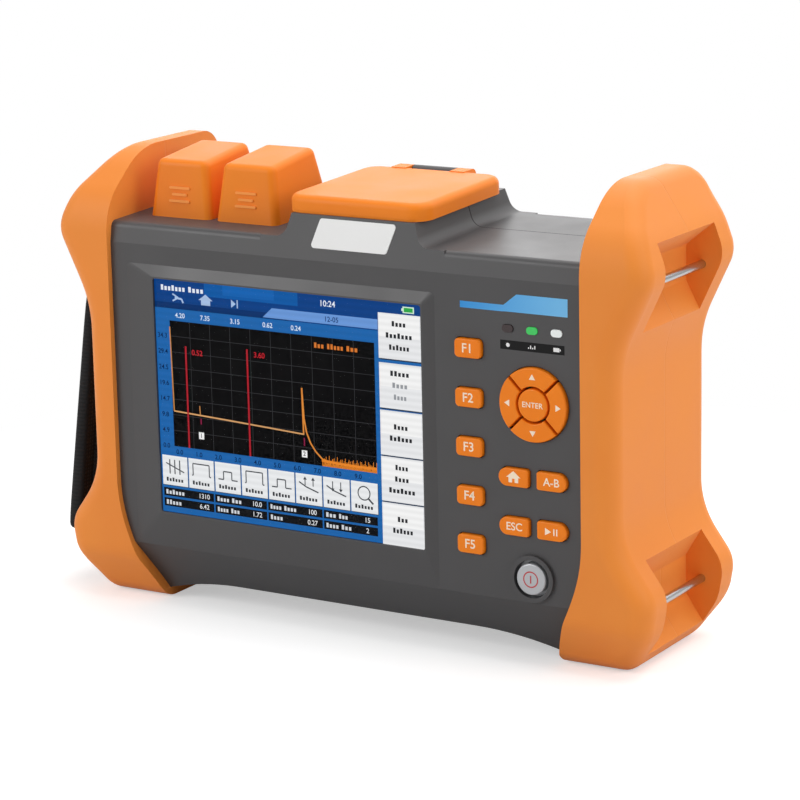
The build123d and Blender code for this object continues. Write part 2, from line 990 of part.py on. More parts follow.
with BuildPart() as usb_device_socket:
    socket_shell([usb_device_place], usb_device_size)
    socket_hole([usb_device_place], usb_device_opening, socket_depth)
    with BuildSketch(deck.offset(socket_foot)):
        with Locations(usb_device_place):
            Rectangle(usb_device_tongue[0], usb_device_tongue[1])
    extrude(amount=socket_length - tongue_drop)
save(usb_device_socket, "usb_device_socket")

with BuildPart() as network_socket:
    socket_shell([network_place], network_size)
    socket_hole([network_place], network_opening, socket_depth)
    socket_hole([(network_place[0], network_place[1] + latch_shift)], latch_opening, latch_depth)
save(network_socket, "network_socket")

with BuildPart() as supply_socket:
    socket_shell([supply_place], supply_size)
    socket_floor = deck.offset(jack_rise - socket_depth)
    rod(socket_floor, supply_place[0], supply_place[1], supply_bore, socket_depth, mode=Mode.SUBTRACT)
    rod(socket_floor, supply_place[0], supply_place[1], supply_pin, socket_depth - tongue_drop)
save(supply_socket, "supply_socket")

with BuildPart() as bay_tray:
    tray_left = bay_left + tray_play
    tray_right = bay_right - tray_play
    tray_front = bay_front + tray_play
    tray_rear = bay_rear - tray_play
    block(deck.offset(bay_floor), tray_left, tray_right, tray_front, tray_rear, tower_height - bay_floor)
    block(
        deck.offset(tower_height),
        bay_left - tray_flange,
        bay_right + tray_flange,
        bay_front - tray_flange,
        bay_rear + tray_flange,
        tray_flange_thickness,
    )
    block(
        deck,
        tray_left + tray_wall,
        tray_right - tray_wall,
        tray_front + tray_wall,
        tray_rear - tray_wall,
        wide,
        mode=Mode.SUBTRACT,
    )
    with BuildSketch(deck.offset(socket_foot)):
        with Locations(*tray_post_places):
            Circle(small_boss_radius)
    extrude(amount=jack_drop + bay_floor)
    with BuildSketch(deck.offset(bay_floor)):
        with Locations(*usb_places):
            Rectangle(usb_size[0] + 2 * socket_play, usb_size[1] + 2 * socket_play)
        with Locations(usb_device_place):
            Rectangle(usb_device_size[0] + 2 * socket_play, usb_device_size[1] + 2 * socket_play)
        with Locations(network_place):
            Rectangle(network_size[0] + 2 * socket_play, network_size[1] + 2 * socket_play)
        with Locations(supply_place):
            Rectangle(supply_size[0] + 2 * socket_play, supply_size[1] + 2 * socket_play)
    extrude(amount=-bay_floor, mode=Mode.SUBTRACT)
    with BuildSketch(deck.offset(socket_foot)):
        with Locations(*tray_post_places):
            Circle(small_screw_radius + screw_play)
    extrude(amount=small_screw_bite + screw_hole_spare, mode=Mode.SUBTRACT)
save(bay_tray, "bay_tray")

with BuildPart() as interface_board:
    block(
        deck.offset(socket_foot - board_thickness),
        bay_left - interface_board_margin,
        bay_right + interface_board_margin,
        bay_front - interface_board_margin,
        bay_rear + interface_board_margin,
        board_thickness,
    )
    with BuildSketch(deck.offset(socket_foot - board_thickness)):
        with Locations(*tray_post_places):
            Circle(small_screw_radius + board_hole_play)
    extrude(amount=board_thickness, mode=Mode.SUBTRACT)
save(interface_board, "interface_board")

with BuildPart() as tray_screws:
    head_plane = deck.offset(socket_foot - board_thickness - small_screw_head_height)
    for place in tray_post_places:
        rod(head_plane, place[0], place[1], small_screw_head, small_screw_head_height)
        rod(head_plane, place[0], place[1], small_screw_radius,
            small_screw_head_height + board_thickness + small_screw_bite)
save(tray_screws, "tray_screws")

# Tower plate: a bare white plate let into the leaning front of the tower
band_normal = Vector(0, -1, band_slope)
band_plane = Plane(origin=(0, -front_face, band_height), x_dir=(1, 0, 0), z_dir=band_normal)


def plate_face(grow):
    """Slanted outline of the tower plate, grown by the given clearance."""
    with BuildSketch(band_plane.offset(-plate_sink)) as outline:
        with BuildLine():
            Polyline(
                (plate_left, plate_low),
                (plate_right, plate_low),
                (plate_right + plate_slant, plate_high),
                (plate_left + plate_slant, plate_high),
                close=True,
            )
        make_face()
        fillet(outline.vertices(), plate_corner)
        if grow > 0:
            offset(amount=grow, mode=Mode.REPLACE)
    return outline.sketch


with BuildPart() as tower_plate:
    extrude(plate_face(0), amount=plate_thickness)
save(tower_plate, "tower_plate")

# Prism of everything between the bumpers' inner edges, used to trim them
with BuildPart() as panel_prism:
    with BuildSketch(Plane.XZ):
        with BuildLine():
            inner_edge = flank_curve()
            Line(inner_edge @ 1, (panel_half_width, wide))
            Line((panel_half_width, wide), (0, wide))
            Line((0, -1), (foot_inner, -1))
            Line((foot_inner, -1), inner_edge @ 0)
            mirror(about=Plane.YZ)
        make_face()
    extrude(amount=wide, both=True)

# Right bumper: an outline of straights and arcs from the front, crossed with one from the side
with BuildPart() as bumper_form:
    with BuildSketch(at_depth(bumper_depth)):
        with BuildLine():
            shell_line = FilletPolyline(
                (foot_inner - end_step, -outline_below),
                (sole_half_width, -outline_below),
                (flare_x, flare_z),
                (lobe_x, lobe_low_z),
                (waist_half_width, waist_low_z),
                (waist_half_width, bumper_height - waist_drop),
                (lobe_x, bumper_height - lobe_drop),
                (shoulder_x, bumper_height - shoulder_drop),
                (crown_x, bumper_height + outline_spare),
                (foot_inner - end_step, bumper_height + outline_spare),
                radius=[
                    tip_radius,
                    flare_radius,
                    lobe_radius,
                    waist_low_radius,
                    waist_high_radius,
                    lobe_radius,
                    shoulder_radius,
                    tip_radius,
                ],
            )
            Line(shell_line @ 1, shell_line @ 0)
        make_face()
    extrude(amount=bumper_depth * 2)
    nose_z = bumper_height - nose_drop
    with BuildSketch(Plane.YZ) as side_sketch:
        with BuildLine():
            Polyline(
                (-sole_reach, 0),
                (-bumper_depth, sole_rise),
                (-bumper_depth, nose_z),
                (brow_depth, bumper_height),
                (bumper_depth, bumper_height),
                (bumper_depth, sole_rise),
                (sole_reach, 0),
                close=True,
            )
        make_face()
        corners = side_sketch.vertices()
        fillet(corners.filter_by(lambda v: v.Y < sole_rise + 1), sole_radius)
        fillet(side_sketch.vertices().filter_by(lambda v: abs(v.Y - nose_z) < 0.1), nose_radius)
        fillet(side_sketch.vertices().filter_by(lambda v: abs(v.X - brow_depth) < 0.1), brow_radius)
        fillet(side_sketch.vertices().filter_by(lambda v: v.Y > nose_z and v.X > sole_reach), heel_radius)
    extrude(amount=wide, mode=Mode.INTERSECT)
    turning = bumper_form.edges().filter_by(Axis.X, reverse=True).filter_by(Axis.Y, reverse=True)
    fillet(turning.filter_by(lambda e: e.center().X > foot_inner), bumper_round)


def pocket(low, high, rise_low, rise_high):
    """Pocket in the bumper for one strap bar, flaring outward above and below."""
    with BuildSketch(at_depth(pocket_half_depth)) as outline:
        with BuildLine():
            Polyline(
                (pocket_floor, low),
                (pocket_floor, high),
                (pocket_floor + pocket_reach, high + pocket_reach * rise_high),
                (pocket_floor + pocket_reach * 2, high + pocket_reach * rise_high),
                (pocket_floor + pocket_reach * 2, low - pocket_reach * rise_low / 2),
                (pocket_floor + pocket_reach / 2, low - pocket_reach * rise_low / 2),
                close=True,
            )
        make_face()
        inner = outline.vertices().sort_by(Axis.X)[:2]
        fillet(inner, pocket_corner)
    extrude(outline.sketch, amount=pocket_half_depth * 2, mode=Mode.SUBTRACT)


with BuildPart() as right_bumper:
    add(bumper_form.part)
    add(panel_prism.part, mode=Mode.SUBTRACT)
    add(case_form.part, mode=Mode.SUBTRACT)
    pocket(pocket_high_low, pocket_high_top, pocket_high_fall, pocket_high_rise)
    pocket(pocket_low_low, pocket_low_top, pocket_low_fall, pocket_low_rise)
    for bar_z in (bar_low_z, bar_high_z):
        seat_reach = pocket_half_depth + bar_seat
        rod(at_depth(seat_reach), bar_x, bar_z, bar_radius + screw_play, seat_reach * 2, mode=Mode.SUBTRACT)
save(right_bumper, "right_bumper")

with BuildPart() as left_bumper:
    add(mirror(right_bumper.part, about=Plane.YZ))
save(left_bumper, "left_bumper")

for side_name, side in (("left", -1), ("right", 1)):
    for level_name, bar_z in (("lower", bar_low_z), ("upper", bar_high_z)):
        with BuildPart() as strap_bar:
            rod(at_depth(seat_reach), side * bar_x, bar_z, bar_radius, seat_reach * 2)
        save(strap_bar, f"{side_name}_{level_name}_bar")

# Hand strap: webbing that turns round both left bars, and the pad outside it
loop_radius = bar_radius + strap_loop_play + strap_thickness / 2
pad_line = (Vector(-pad_bottom_x, pad_bottom_z) - Vector(-pad_top_x, pad_top_z)).normalized()
pad_normal = Vector(-pad_line.Y, pad_line.X) * -1
web_top = Vector(-pad_top_x, pad_top_z) - pad_normal * (strap_thickness / 2)
web_low = web_top + pad_line * ((web_top.Y - strap_turn_z) / -pad_line.Y)


def band(start, end):
    """Straight piece of webbing seen from the front, with round ends."""
    middle = (start + end) / 2
    run = end - start
    turn = degrees(atan2(run.Y, run.X))
    with Locations(Location((middle.X, middle.Y), turn)):
        SlotCenterToCenter(run.length, strap_thickness)


with BuildPart() as strap_webbing:
    with BuildSketch(at_depth(strap_width / 2)):
        band(Vector(-bar_x - loop_radius, bar_high_z), web_top)
        band(web_top, web_low)
        band(web_low, Vector(-bar_x, bar_low_z - loop_radius))
        with Locations((-bar_x, bar_high_z), (-bar_x, bar_low_z)):
            Circle(loop_radius + strap_thickness / 2)
            Circle(loop_radius - strap_thickness / 2, mode=Mode.SUBTRACT)
    extrude(amount=strap_width)
save(strap_webbing, "strap_webbing")

with BuildPart() as strap_pad:
    pad_top = Vector(-pad_top_x, pad_top_z)
    pad_low = Vector(-pad_bottom_x, pad_bottom_z)
    pad_plane = Plane(
        origin=(pad_low.X, 0, pad_low.Y),
        x_dir=(0, -1, 0),
        z_dir=(pad_normal.X, 0, pad_normal.Y),
    )
    block(pad_plane, -pad_half_depth, pad_half_depth, 0, (pad_top - pad_low).length, pad_thickness)
    pad_corners = strap_pad.edges().filter_by(Axis(pad_plane.origin, pad_plane.z_dir))
    fillet(pad_corners, pad_thickness)
    outer_rim = strap_pad.faces().sort_by(Axis(pad_plane.origin, pad_plane.z_dir))[-1].edges()
    fillet(outer_rim, pad_corner)
save(strap_pad, "strap_pad")

# Battery, its door and the door's screws
door_left = -door_width / 2
door_right = door_width / 2
door_low = door_z - door_height / 2
door_high = door_z + door_height / 2
door_inside = rear_face - door_thickness
battery_half_width = door_width / 2 - door_ledge - battery_play
battery_half_height = door_height / 2 - door_ledge - battery_play
door_screw_places = [
    (side * (door_width / 2 - door_screw_inset), door_z + level * (door_height / 2 - door_screw_inset))
    for side in (-1, 1)
    for level in (-1, 1)
]

with BuildPart() as battery_pack:
    block(
        at_depth(door_inside - battery_play),
        -battery_half_width,
        battery_half_width,
        door_z - battery_half_height,
        door_z + battery_half_height,
        battery_depth,
    )
    long_edges = battery_pack.edges().filter_by(Axis.Y)
    fillet(long_edges, battery_corner)
save(battery_pack, "battery_pack")

with BuildPart() as battery_door:
    block(at_depth(rear_face), door_left, door_right, door_low, door_high, door_thickness)
    fillet(battery_door.edges().filter_by(Axis.Y), battery_corner)
    with BuildSketch(at_depth(rear_face)):
        with Locations(*door_screw_places):
            Circle(door_screw_radius + board_hole_play)
    extrude(amount=door_thickness, mode=Mode.SUBTRACT)
    with BuildSketch(at_depth(rear_face)):
        with Locations(*door_screw_places):
            Circle(door_screw_head + board_hole_play)
    extrude(amount=door_thickness / 2, mode=Mode.SUBTRACT)
save(battery_door, "battery_door")

door_screw_seat = rear_face - door_thickness / 2
with BuildPart() as door_screws:
    for place in door_screw_places:
        rod(at_depth(door_screw_seat), place[0], place[1], door_screw_radius,
            door_thickness / 2 + door_screw_bite)
        rod(at_depth(rear_face), place[0], place[1], door_screw_head, door_thickness / 2)
save(door_screws, "door_screws")

# Tilt stand folded into its recess in the back
stand_rear = stand_hinge_depth + stand_thickness / 2
recess_floor = stand_rear - stand_thickness - stand_play / 2
with BuildPart() as tilt_stand:
    block(
        at_depth(stand_rear), -stand_half_width, stand_half_width, stand_low, stand_hinge_z, stand_thickness
    )
    block(
        at_depth(stand_rear),
        stand_bar - stand_half_width,
        stand_half_width - stand_bar,
        stand_low + stand_bar,
        stand_hinge_z,
        stand_thickness,
        mode=Mode.SUBTRACT,
    )
    foot_corners = tilt_stand.edges().filter_by(Axis.Y)
    fillet(foot_corners.group_by(Axis.Z)[0], stand_bar / 2)
    for side in (-1, 1):
        hub_middle = side * (stand_half_width - stand_bar / 2)
        rod(
            Plane.YZ.offset(hub_middle - stand_bar / 2),
            stand_hinge_depth,
            stand_hinge_z,
            stand_thickness / 2,
            stand_bar,
        )
    rod(
        Plane.YZ.offset(-stand_half_width),
        stand_hinge_depth,
        stand_hinge_z,
        stand_pin_radius + hinge_play,
        stand_half_width * 2,
        mode=Mode.SUBTRACT,
    )
save(tilt_stand, "tilt_stand")

pin_end = stand_half_width + stand_play + stand_pin_seat
with BuildPart() as stand_pins:
    for side in (-1, 1):
        start = -pin_end if side < 0 else stand_half_width - stand_bar
        rod(Plane.YZ.offset(start), stand_hinge_depth, stand_hinge_z, stand_pin_radius,
            pin_end - stand_half_width + stand_bar)
save(stand_pins, "stand_pins")

# Whole casing before it is parted: shell, bezel, openings, bosses, recesses and hinge ears
with BuildPart() as casing:
    add(case_form.part)
    add(cavity_form.part, mode=Mode.SUBTRACT)
    # Raised bezel with the stepped window opening
    bezel_x = window_x + (bezel_right - bezel_left) / 2
    bezel_z = window_z + (bezel_top - bezel_bottom) / 2
    with BuildSketch(at_depth(-front_face)):
        with Locations((bezel_x, bezel_z)):
            RectangleRounded(
                window_width + bezel_left + bezel_right,
                window_height + bezel_top + bezel_bottom,
                bezel_corner,
            )
    with BuildSketch(at_depth(bezel_front)):
        with Locations((window_x, window_z)):
            RectangleRounded(
                window_width + 2 * bezel_land, window_height + 2 * bezel_land, window_corner
            )
    loft()
    with BuildSketch(at_depth(panel_inside)):
        with Locations((window_x, window_z)):
            RectangleRounded(window_width, window_height, window_corner)
    extrude(amount=panel_wall + bezel_raise, mode=Mode.SUBTRACT)
    with BuildSketch(at_depth(panel_inside)):
        with Locations((window_x, window_z)):
            Rectangle(window_width + 2 * window_ledge, window_height + 2 * window_ledge)
    extrude(amount=panel_inside - window_front, mode=Mode.SUBTRACT)
    # Ring round the power key, and the openings of all keys and lenses
    rod(at_depth(-front_face), power_x, power_z, power_ring_radius, power_ring_raise)
    with BuildSketch(at_depth(panel_inside)):
        with Locations((power_x, power_z)):
            Circle(power_ring_radius - power_ring_wall)
        with Locations((pad_x, pad_z)):
            Circle(pad_radius + key_gap)
        for number in range(function_key_count):
            with Locations((function_key_x, function_height(number))):
                function_outline(key_gap)
        for level in (soft_key_high_z, soft_key_low_z):
            with Locations((soft_key_left_x, level)):
                soft_outline(-1)(key_gap)
            with Locations((soft_key_right_x, level)):
                soft_outline(1)(key_gap)
        for number in range(-1, 2):
            with Locations((lens_x + lens_pitch * number, lens_z)):
                lens_outline(window_play)
    extrude(amount=panel_wall + power_ring_raise, mode=Mode.SUBTRACT)
    # Bosses for the boards, with their screw holes
    for place in keypad_bosses:
        rod(at_depth(keypad_front), place[0], place[1], small_boss_radius, keypad_front - panel_inside)
        rod(at_depth(keypad_front), place[0], place[1], small_screw_radius + screw_play, small_screw_bite + screw_hole_spare,
            mode=Mode.SUBTRACT)
    for place in bracket_places:
        rod(at_depth(display_rear), place[0], place[1], small_boss_radius, display_rear - panel_inside)
        rod(at_depth(display_rear), place[0], place[1], small_screw_radius + screw_play, small_screw_bite + screw_hole_spare,
            mode=Mode.SUBTRACT)
    for place in post_places:
        rod(at_depth(main_board_front), place[0], place[1], post_radius, main_board_front - panel_inside)
        rod(at_depth(main_board_front), place[0], place[1], screw_radius + screw_play, screw_bite + screw_hole_spare,
            mode=Mode.SUBTRACT)
        rod(at_depth(rear_face), place[0], place[1], screw_radius + board_hole_play,
            rear_face - main_board_rear, mode=Mode.SUBTRACT)
        rod(at_depth(rear_face), place[0], place[1], screw_head_radius + board_hole_play, screw_sink,
            mode=Mode.SUBTRACT)
    # Plate recess, bay opening, port holes and the hinge ears on the deck
    extrude(plate_face(plate_play), amount=plate_thickness * 2, mode=Mode.SUBTRACT)
    block(deck.offset(-bay_cut), bay_left, bay_right, bay_front, bay_rear, bay_cut * 2, mode=Mode.SUBTRACT)
    for x in port_places:
        rod(deck.offset(-panel_wall * 2), x, port_depth, tail_radius + port_play, panel_wall * 4,
            mode=Mode.SUBTRACT)
    with BuildSketch(deck.offset(-panel_wall * 2)):
        with Locations(*port_screw_places):
            Circle(small_screw_radius + screw_play)
    extrude(amount=panel_wall * 4, mode=Mode.SUBTRACT)
    for x in port_places:
        ear_middle = cap_lug_width / 2 + hinge_gap + cap_ear_width / 2
        for side in (-1, 1):
            ear(x + side * ear_middle, cap_ear_width, cap_pivot, cap_hinge_radius, -panel_wall / 2)
        rod(at_width(x - cap_ear_reach), cap_pivot[0], cap_pivot[1], hinge_pin_radius + hinge_play,
            cap_ear_reach * 2, mode=Mode.SUBTRACT)
    cover_ear_width = 2 * cover_knuckle_spread - cover_knuckle_width - 2 * hinge_gap
    ear(cover_knuckle_x, cover_ear_width, cover_pivot, cover_hinge_radius, tower_height - panel_wall)
    rod(at_width(cover_knuckle_x - cover_ear_width / 2), cover_pivot[0], cover_pivot[1],
        hinge_pin_radius + hinge_play, cover_ear_width, mode=Mode.SUBTRACT)
    # Back: battery compartment, door rebate and screw holes, then the recess of the stand
    compartment_depth = door_inside - 2 * battery_play - battery_depth
    block(
        at_depth(cavity_rear),
        -battery_half_width - battery_play - battery_wall,
        battery_half_width + battery_play + battery_wall,
        door_z - battery_half_height - battery_play - battery_wall,
        door_z + battery_half_height + battery_play + battery_wall,
        cavity_rear - compartment_depth + battery_wall,
    )
    block(
        at_depth(door_inside),
        -battery_half_width - battery_play,
        battery_half_width + battery_play,
        door_z - battery_half_height - battery_play,
        door_z + battery_half_height + battery_play,
        door_inside - compartment_depth,
        mode=Mode.SUBTRACT,
    )
    with BuildSketch(at_depth(rear_face)):
        with Locations((0, door_z)):
            RectangleRounded(
                door_width + 2 * door_play, door_height + 2 * door_play, battery_corner + door_play
            )
    extrude(amount=door_thickness, mode=Mode.SUBTRACT)
    with BuildSketch(at_depth(door_inside)):
        with Locations(*door_screw_places):
            Circle(door_screw_radius + screw_play)
    extrude(amount=door_screw_bite + screw_hole_spare, mode=Mode.SUBTRACT)
    recess_half = stand_half_width + stand_play
    recess_inner = stand_half_width - stand_bar - stand_play
    with BuildSketch(at_depth(rear_face)):
        with Locations((0, (stand_low + stand_hinge_z + stand_thickness) / 2)):
            Rectangle(recess_half * 2, stand_hinge_z + stand_thickness - stand_low + 2 * stand_play)
            Rectangle(recess_inner * 2, wide, mode=Mode.SUBTRACT)
        with Locations((0, stand_low + stand_bar / 2)):
            Rectangle(recess_half * 2, stand_bar + 2 * stand_play)
    extrude(amount=rear_face - recess_floor, mode=Mode.SUBTRACT)
    block(at_depth(rear_face), -stand_grip_width / 2, stand_grip_width / 2, stand_grip_low, stand_low,
          rear_face - recess_floor, mode=Mode.SUBTRACT)
    rod(Plane.YZ.offset(-pin_end), stand_hinge_depth, stand_hinge_z, stand_pin_radius + screw_play,
        stand_pin_seat * 2, mode=Mode.SUBTRACT)
    rod(Plane.YZ.offset(pin_end - stand_pin_seat * 2), stand_hinge_depth, stand_hinge_z,
        stand_pin_radius + screw_play, stand_pin_seat * 2, mode=Mode.SUBTRACT)

with BuildPart() as front_case:
    add(casing.part)
    split(bisect_by=at_depth(split_depth - seal_thickness / 2), keep=Keep.TOP)
save(front_case, "front_case")

with BuildPart() as rear_case:
    add(casing.part)
    split(bisect_by=at_depth(split_depth + seal_thickness / 2), keep=Keep.BOTTOM)
    for place in post_places:
        boss_length = cavity_rear - main_board_rear
        rod(at_depth(cavity_rear), place[0], place[1], post_radius, boss_length)
        rod(at_depth(rear_face), place[0], place[1], screw_radius + board_hole_play,
            rear_face - main_board_rear, mode=Mode.SUBTRACT)
save(rear_case, "rear_case")

with BuildPart() as case_seal:
    add(casing.part)
    split(bisect_by=at_depth(split_depth - seal_thickness / 2), keep=Keep.BOTTOM)
    split(bisect_by=at_depth(split_depth + seal_thickness / 2), keep=Keep.TOP)
save(case_seal, "case_seal")
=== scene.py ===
import math

import bmesh
import bpy
from mathutils import Matrix, Vector
from mathutils.bvhtree import BVHTree


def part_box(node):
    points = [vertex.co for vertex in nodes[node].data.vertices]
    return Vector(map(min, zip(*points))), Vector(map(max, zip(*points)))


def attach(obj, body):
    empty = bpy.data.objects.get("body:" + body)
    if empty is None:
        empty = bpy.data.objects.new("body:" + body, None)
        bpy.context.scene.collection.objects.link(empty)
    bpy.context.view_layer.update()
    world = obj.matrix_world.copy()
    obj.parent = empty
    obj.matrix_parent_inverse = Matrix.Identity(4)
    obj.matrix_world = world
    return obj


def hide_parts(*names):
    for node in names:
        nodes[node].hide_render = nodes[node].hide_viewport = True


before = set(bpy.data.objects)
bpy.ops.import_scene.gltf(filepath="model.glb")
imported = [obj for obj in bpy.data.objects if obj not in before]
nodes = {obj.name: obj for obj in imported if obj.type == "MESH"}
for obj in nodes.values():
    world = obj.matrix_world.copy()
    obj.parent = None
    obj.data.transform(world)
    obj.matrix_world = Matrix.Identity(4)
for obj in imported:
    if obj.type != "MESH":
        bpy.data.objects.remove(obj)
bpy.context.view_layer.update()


# Camera
# The tester is seen from its front right and a little above, as on a packshot. The camera stands
# about 1.1 m away, so its lens is long and the sides lean together only slightly.
azimuth = math.radians(31.55)
elevation = math.radians(13.48)
roll = math.radians(-1.25)
back = Vector(
    (
        math.sin(azimuth) * math.cos(elevation),
        -math.cos(azimuth) * math.cos(elevation),
        math.sin(elevation),
    )
)
right = Vector((math.cos(azimuth), math.sin(azimuth), 0))
up = back.cross(right)
tilted_right = math.cos(roll) * right + math.sin(roll) * up
tilted_up = math.cos(roll) * up - math.sin(roll) * right
camera_aim = Vector((0.00402, 0, 0.07975))
camera_distance = 1.10373
camera = bpy.data.objects.new("camera", bpy.data.cameras.new("camera"))
camera.data.lens = 137.42
camera.data.sensor_width = 36
camera.data.clip_end = 20
camera_turn = Matrix((tilted_right, tilted_up, back)).transposed()
camera.matrix_world = Matrix.Translation(camera_aim + back * camera_distance) @ camera_turn.to_4x4()
bpy.context.scene.collection.objects.link(camera)
bpy.context.scene.camera = camera


# Light, floor and backdrop
# A white table in a soft studio: a wide box above, a softer one from the left front, a weak one
# from the right and a long one behind. The camera sees pure white, mirrors see a greyer room.
scene = bpy.context.scene
scene.view_settings.view_transform = "Standard"
sky = bpy.data.worlds.new("white studio")
scene.world = sky
sky.use_nodes = True
sky.node_tree.nodes.clear()


def add(holder, kind, inputs=None, **settings):
    """Adds one node with its settings; an input is a number, a colour or another node's output."""
    node = holder.node_tree.nodes.new(kind)
    for name, value in settings.items():
        setattr(node, name, value)
    for socket, value in (inputs or {}).items():
        if isinstance(value, bpy.types.NodeSocket):
            holder.node_tree.links.new(value, node.inputs[socket])
        else:
            node.inputs[socket].default_value = value
    return node


def linear(code):
    """Linear colour of an sRGB hex code."""
    parts = [int(code[i : i + 2], 16) / 255 for i in (1, 3, 5)]
    bent = [p / 12.92 if p <= 0.04045 else ((p + 0.055) / 1.055) ** 2.4 for p in parts]
    return (*bent, 1)


rays = add(sky, "ShaderNodeLightPath")
seen = add(
    sky,
    "ShaderNodeMath",
    {0: rays.outputs["Is Camera Ray"], 1: rays.outputs["Is Transmission Ray"]},
    operation="MAXIMUM",
)
room, mirrored, white = [
    add(sky, "ShaderNodeBackground", {"Color": linear("#FFFFFF"), "Strength": strength})
    for strength in (0.27, 0.6, 1)
]
gloss_mix = add(
    sky,
    "ShaderNodeMixShader",
    {0: rays.outputs["Is Glossy Ray"], 1: room.outputs[0], 2: mirrored.outputs[0]},
)
seen_mix = add(
    sky,
    "ShaderNodeMixShader",
    {0: seen.outputs[0], 1: gloss_mix.outputs[0], 2: white.outputs[0]},
)
add(sky, "ShaderNodeOutputWorld", {"Surface": seen_mix.outputs[0]})


def softbox(name, place, aim, width, height, power):
    """Soft rectangular lamp that looks at a point, with its power in watts."""
    lamp = bpy.data.objects.new(name, bpy.data.lights.new(name, "AREA"))
    lamp.data.shape = "RECTANGLE"
    lamp.data.size = width
    lamp.data.size_y = height
    lamp.data.energy = power
    lamp.location = place
    lamp.rotation_euler = (Vector(aim) - Vector(place)).to_track_quat("-Z", "Y").to_euler()
    scene.collection.objects.link(lamp)


softbox("top_box", (0.1, 0.35, 1.2), (0, 0, 0.1), 1.6, 1.2, 13.5)
softbox("front_left_box", (-0.85, -1.1, 0.75), (0, 0, 0.08), 0.8, 0.8, 9.5)
softbox("right_box", (1.3, -0.1, 0.7), (0.05, 0, 0.08), 0.7, 0.8, 6)
softbox("back_box", (-0.35, 1.3, 0.5), (0, 0, 0.14), 1.8, 0.6, 8)


def polygon_mesh(name, points, faces):
    """Object made of the given corners and faces."""
    mesh = bpy.data.meshes.new(name)
    mesh.from_pydata(points, [], faces)
    mesh.update()
    piece = bpy.data.objects.new(name, mesh)
    scene.collection.objects.link(piece)
    return piece


def ramp(holder, value, low, high, low_result=0.0, high_result=1.0):
    """Output that runs from one result to the other while the value goes from low to high."""
    span = {"From Min": low, "From Max": high, "To Min": low_result, "To Max": high_result}
    return add(holder, "ShaderNodeMapRange", {"Value": value, **span}).outputs[0]


floor_half = 6
floor_corners = [
    (-floor_half, -floor_half, 0),
    (floor_half, -floor_half, 0),
    (floor_half, floor_half, 0),
    (-floor_half, floor_half, 0),
]
floor = polygon_mesh("floor", floor_corners, [(0, 1, 2, 3)])
# The camera sees the table's own shading near the tester, and plain white further off
fade_start = 0.16
fade_end = 0.34
floor_paint = bpy.data.materials.new("white painted table")
floor_paint.use_nodes = True
floor_paint.node_tree.nodes.clear()
floor_rays = add(floor_paint, "ShaderNodeLightPath")
floor_diffuse = add(floor_paint, "ShaderNodeBsdfDiffuse", {"Color": linear("#E4E4E4")})
floor_glow = add(floor_paint, "ShaderNodeEmission", {"Color": linear("#FFFFFF"), "Strength": 0.45})
floor_sum = add(
    floor_paint,
    "ShaderNodeAddShader",
    {0: floor_diffuse.outputs[0], 1: floor_glow.outputs[0]},
)
floor_place = add(floor_paint, "ShaderNodeTexCoord")
floor_away = add(
    floor_paint,
    "ShaderNodeVectorMath",
    {0: floor_place.outputs["Object"]},
    operation="LENGTH",
)
floor_fade = ramp(floor_paint, floor_away.outputs["Value"], fade_start, fade_end)
floor_white = add(floor_paint, "ShaderNodeEmission", {"Color": linear("#FFFFFF"), "Strength": 1.0})
floor_seen = add(
    floor_paint,
    "ShaderNodeMixShader",
    {0: floor_fade, 1: floor_sum.outputs[0], 2: floor_white.outputs[0]},
)
floor_mix = add(
    floor_paint,
    "ShaderNodeMixShader",
    {0: floor_rays.outputs["Is Camera Ray"], 1: floor_diffuse.outputs[0], 2: floor_seen.outputs[0]},
)
add(floor_paint, "ShaderNodeOutputMaterial", {"Surface": floor_mix.outputs[0]})
floor.data.materials.append(floor_paint)


# Casing shells and seal
# Two shells of moulded PC/ABS in a warm dark grey, spark-eroded to a fine matte grain that
# breaks up reflections. A black rubber cord lies in the joint between them; the stand on the
# back is nylon of nearly the same grey.
def plastic(name, colour, roughness, **sockets):
    """Material with one shader, its constants set on the shader's own sockets."""
    finish = bpy.data.materials.new(name)
    finish.use_nodes = True
    finish.node_tree.nodes.clear()
    main = {"Base Color": linear(colour), "Roughness": roughness}
    shader = add(finish, "ShaderNodeBsdfPrincipled", main)
    for socket, value in sockets.items():
        shader.inputs[socket.replace("_", " ")].default_value = value
    add(finish, "ShaderNodeOutputMaterial", {"Surface": shader.outputs[0]})
    return finish, shader


def grain(finish, shader, size_mm, depth_mm, spread=0.06):
    """Fine moulded grain, with the roughness drifting; gives its places and the drift's noise."""
    place = add(finish, "ShaderNodeTexCoord")
    fine = add(
        finish,
        "ShaderNodeTexNoise",
        {"Vector": place.outputs["Object"], "Scale": 1000 / size_mm, "Detail": 3.0, "Roughness": 0.6},
    )
    bump = add(
        finish,
        "ShaderNodeBump",
        {"Height": fine.outputs[0], "Distance": depth_mm / 1000, "Strength": 0.6},
    )
    broad = add(
        finish,
        "ShaderNodeTexNoise",
        {"Vector": place.outputs["Object"], "Scale": 35.0, "Detail": 4.0},
    )
    rough = shader.inputs["Roughness"].default_value
    drift = ramp(finish, broad.outputs[0], 0.3, 0.7, rough - spread, rough + spread)
    finish.node_tree.links.new(drift, shader.inputs["Roughness"])
    finish.node_tree.links.new(bump.outputs[0], shader.inputs["Normal"])
    return place, broad


def tint(finish, shader, mask, dark, light):
    """Base colour that drifts between two close shades of the same pigment."""
    shades = add(
        finish,
        "ShaderNodeMix",
        {0: mask, 6: linear(dark), 7: linear(light)},
        data_type="RGBA",
    )
    finish.node_tree.links.new(shades.outputs[2], shader.inputs["Base Color"])


def dress(finish, *names):
    """Gives CAD nodes a material."""
    for name in names:
        for slot in nodes[name].material_slots:
            slot.material = finish


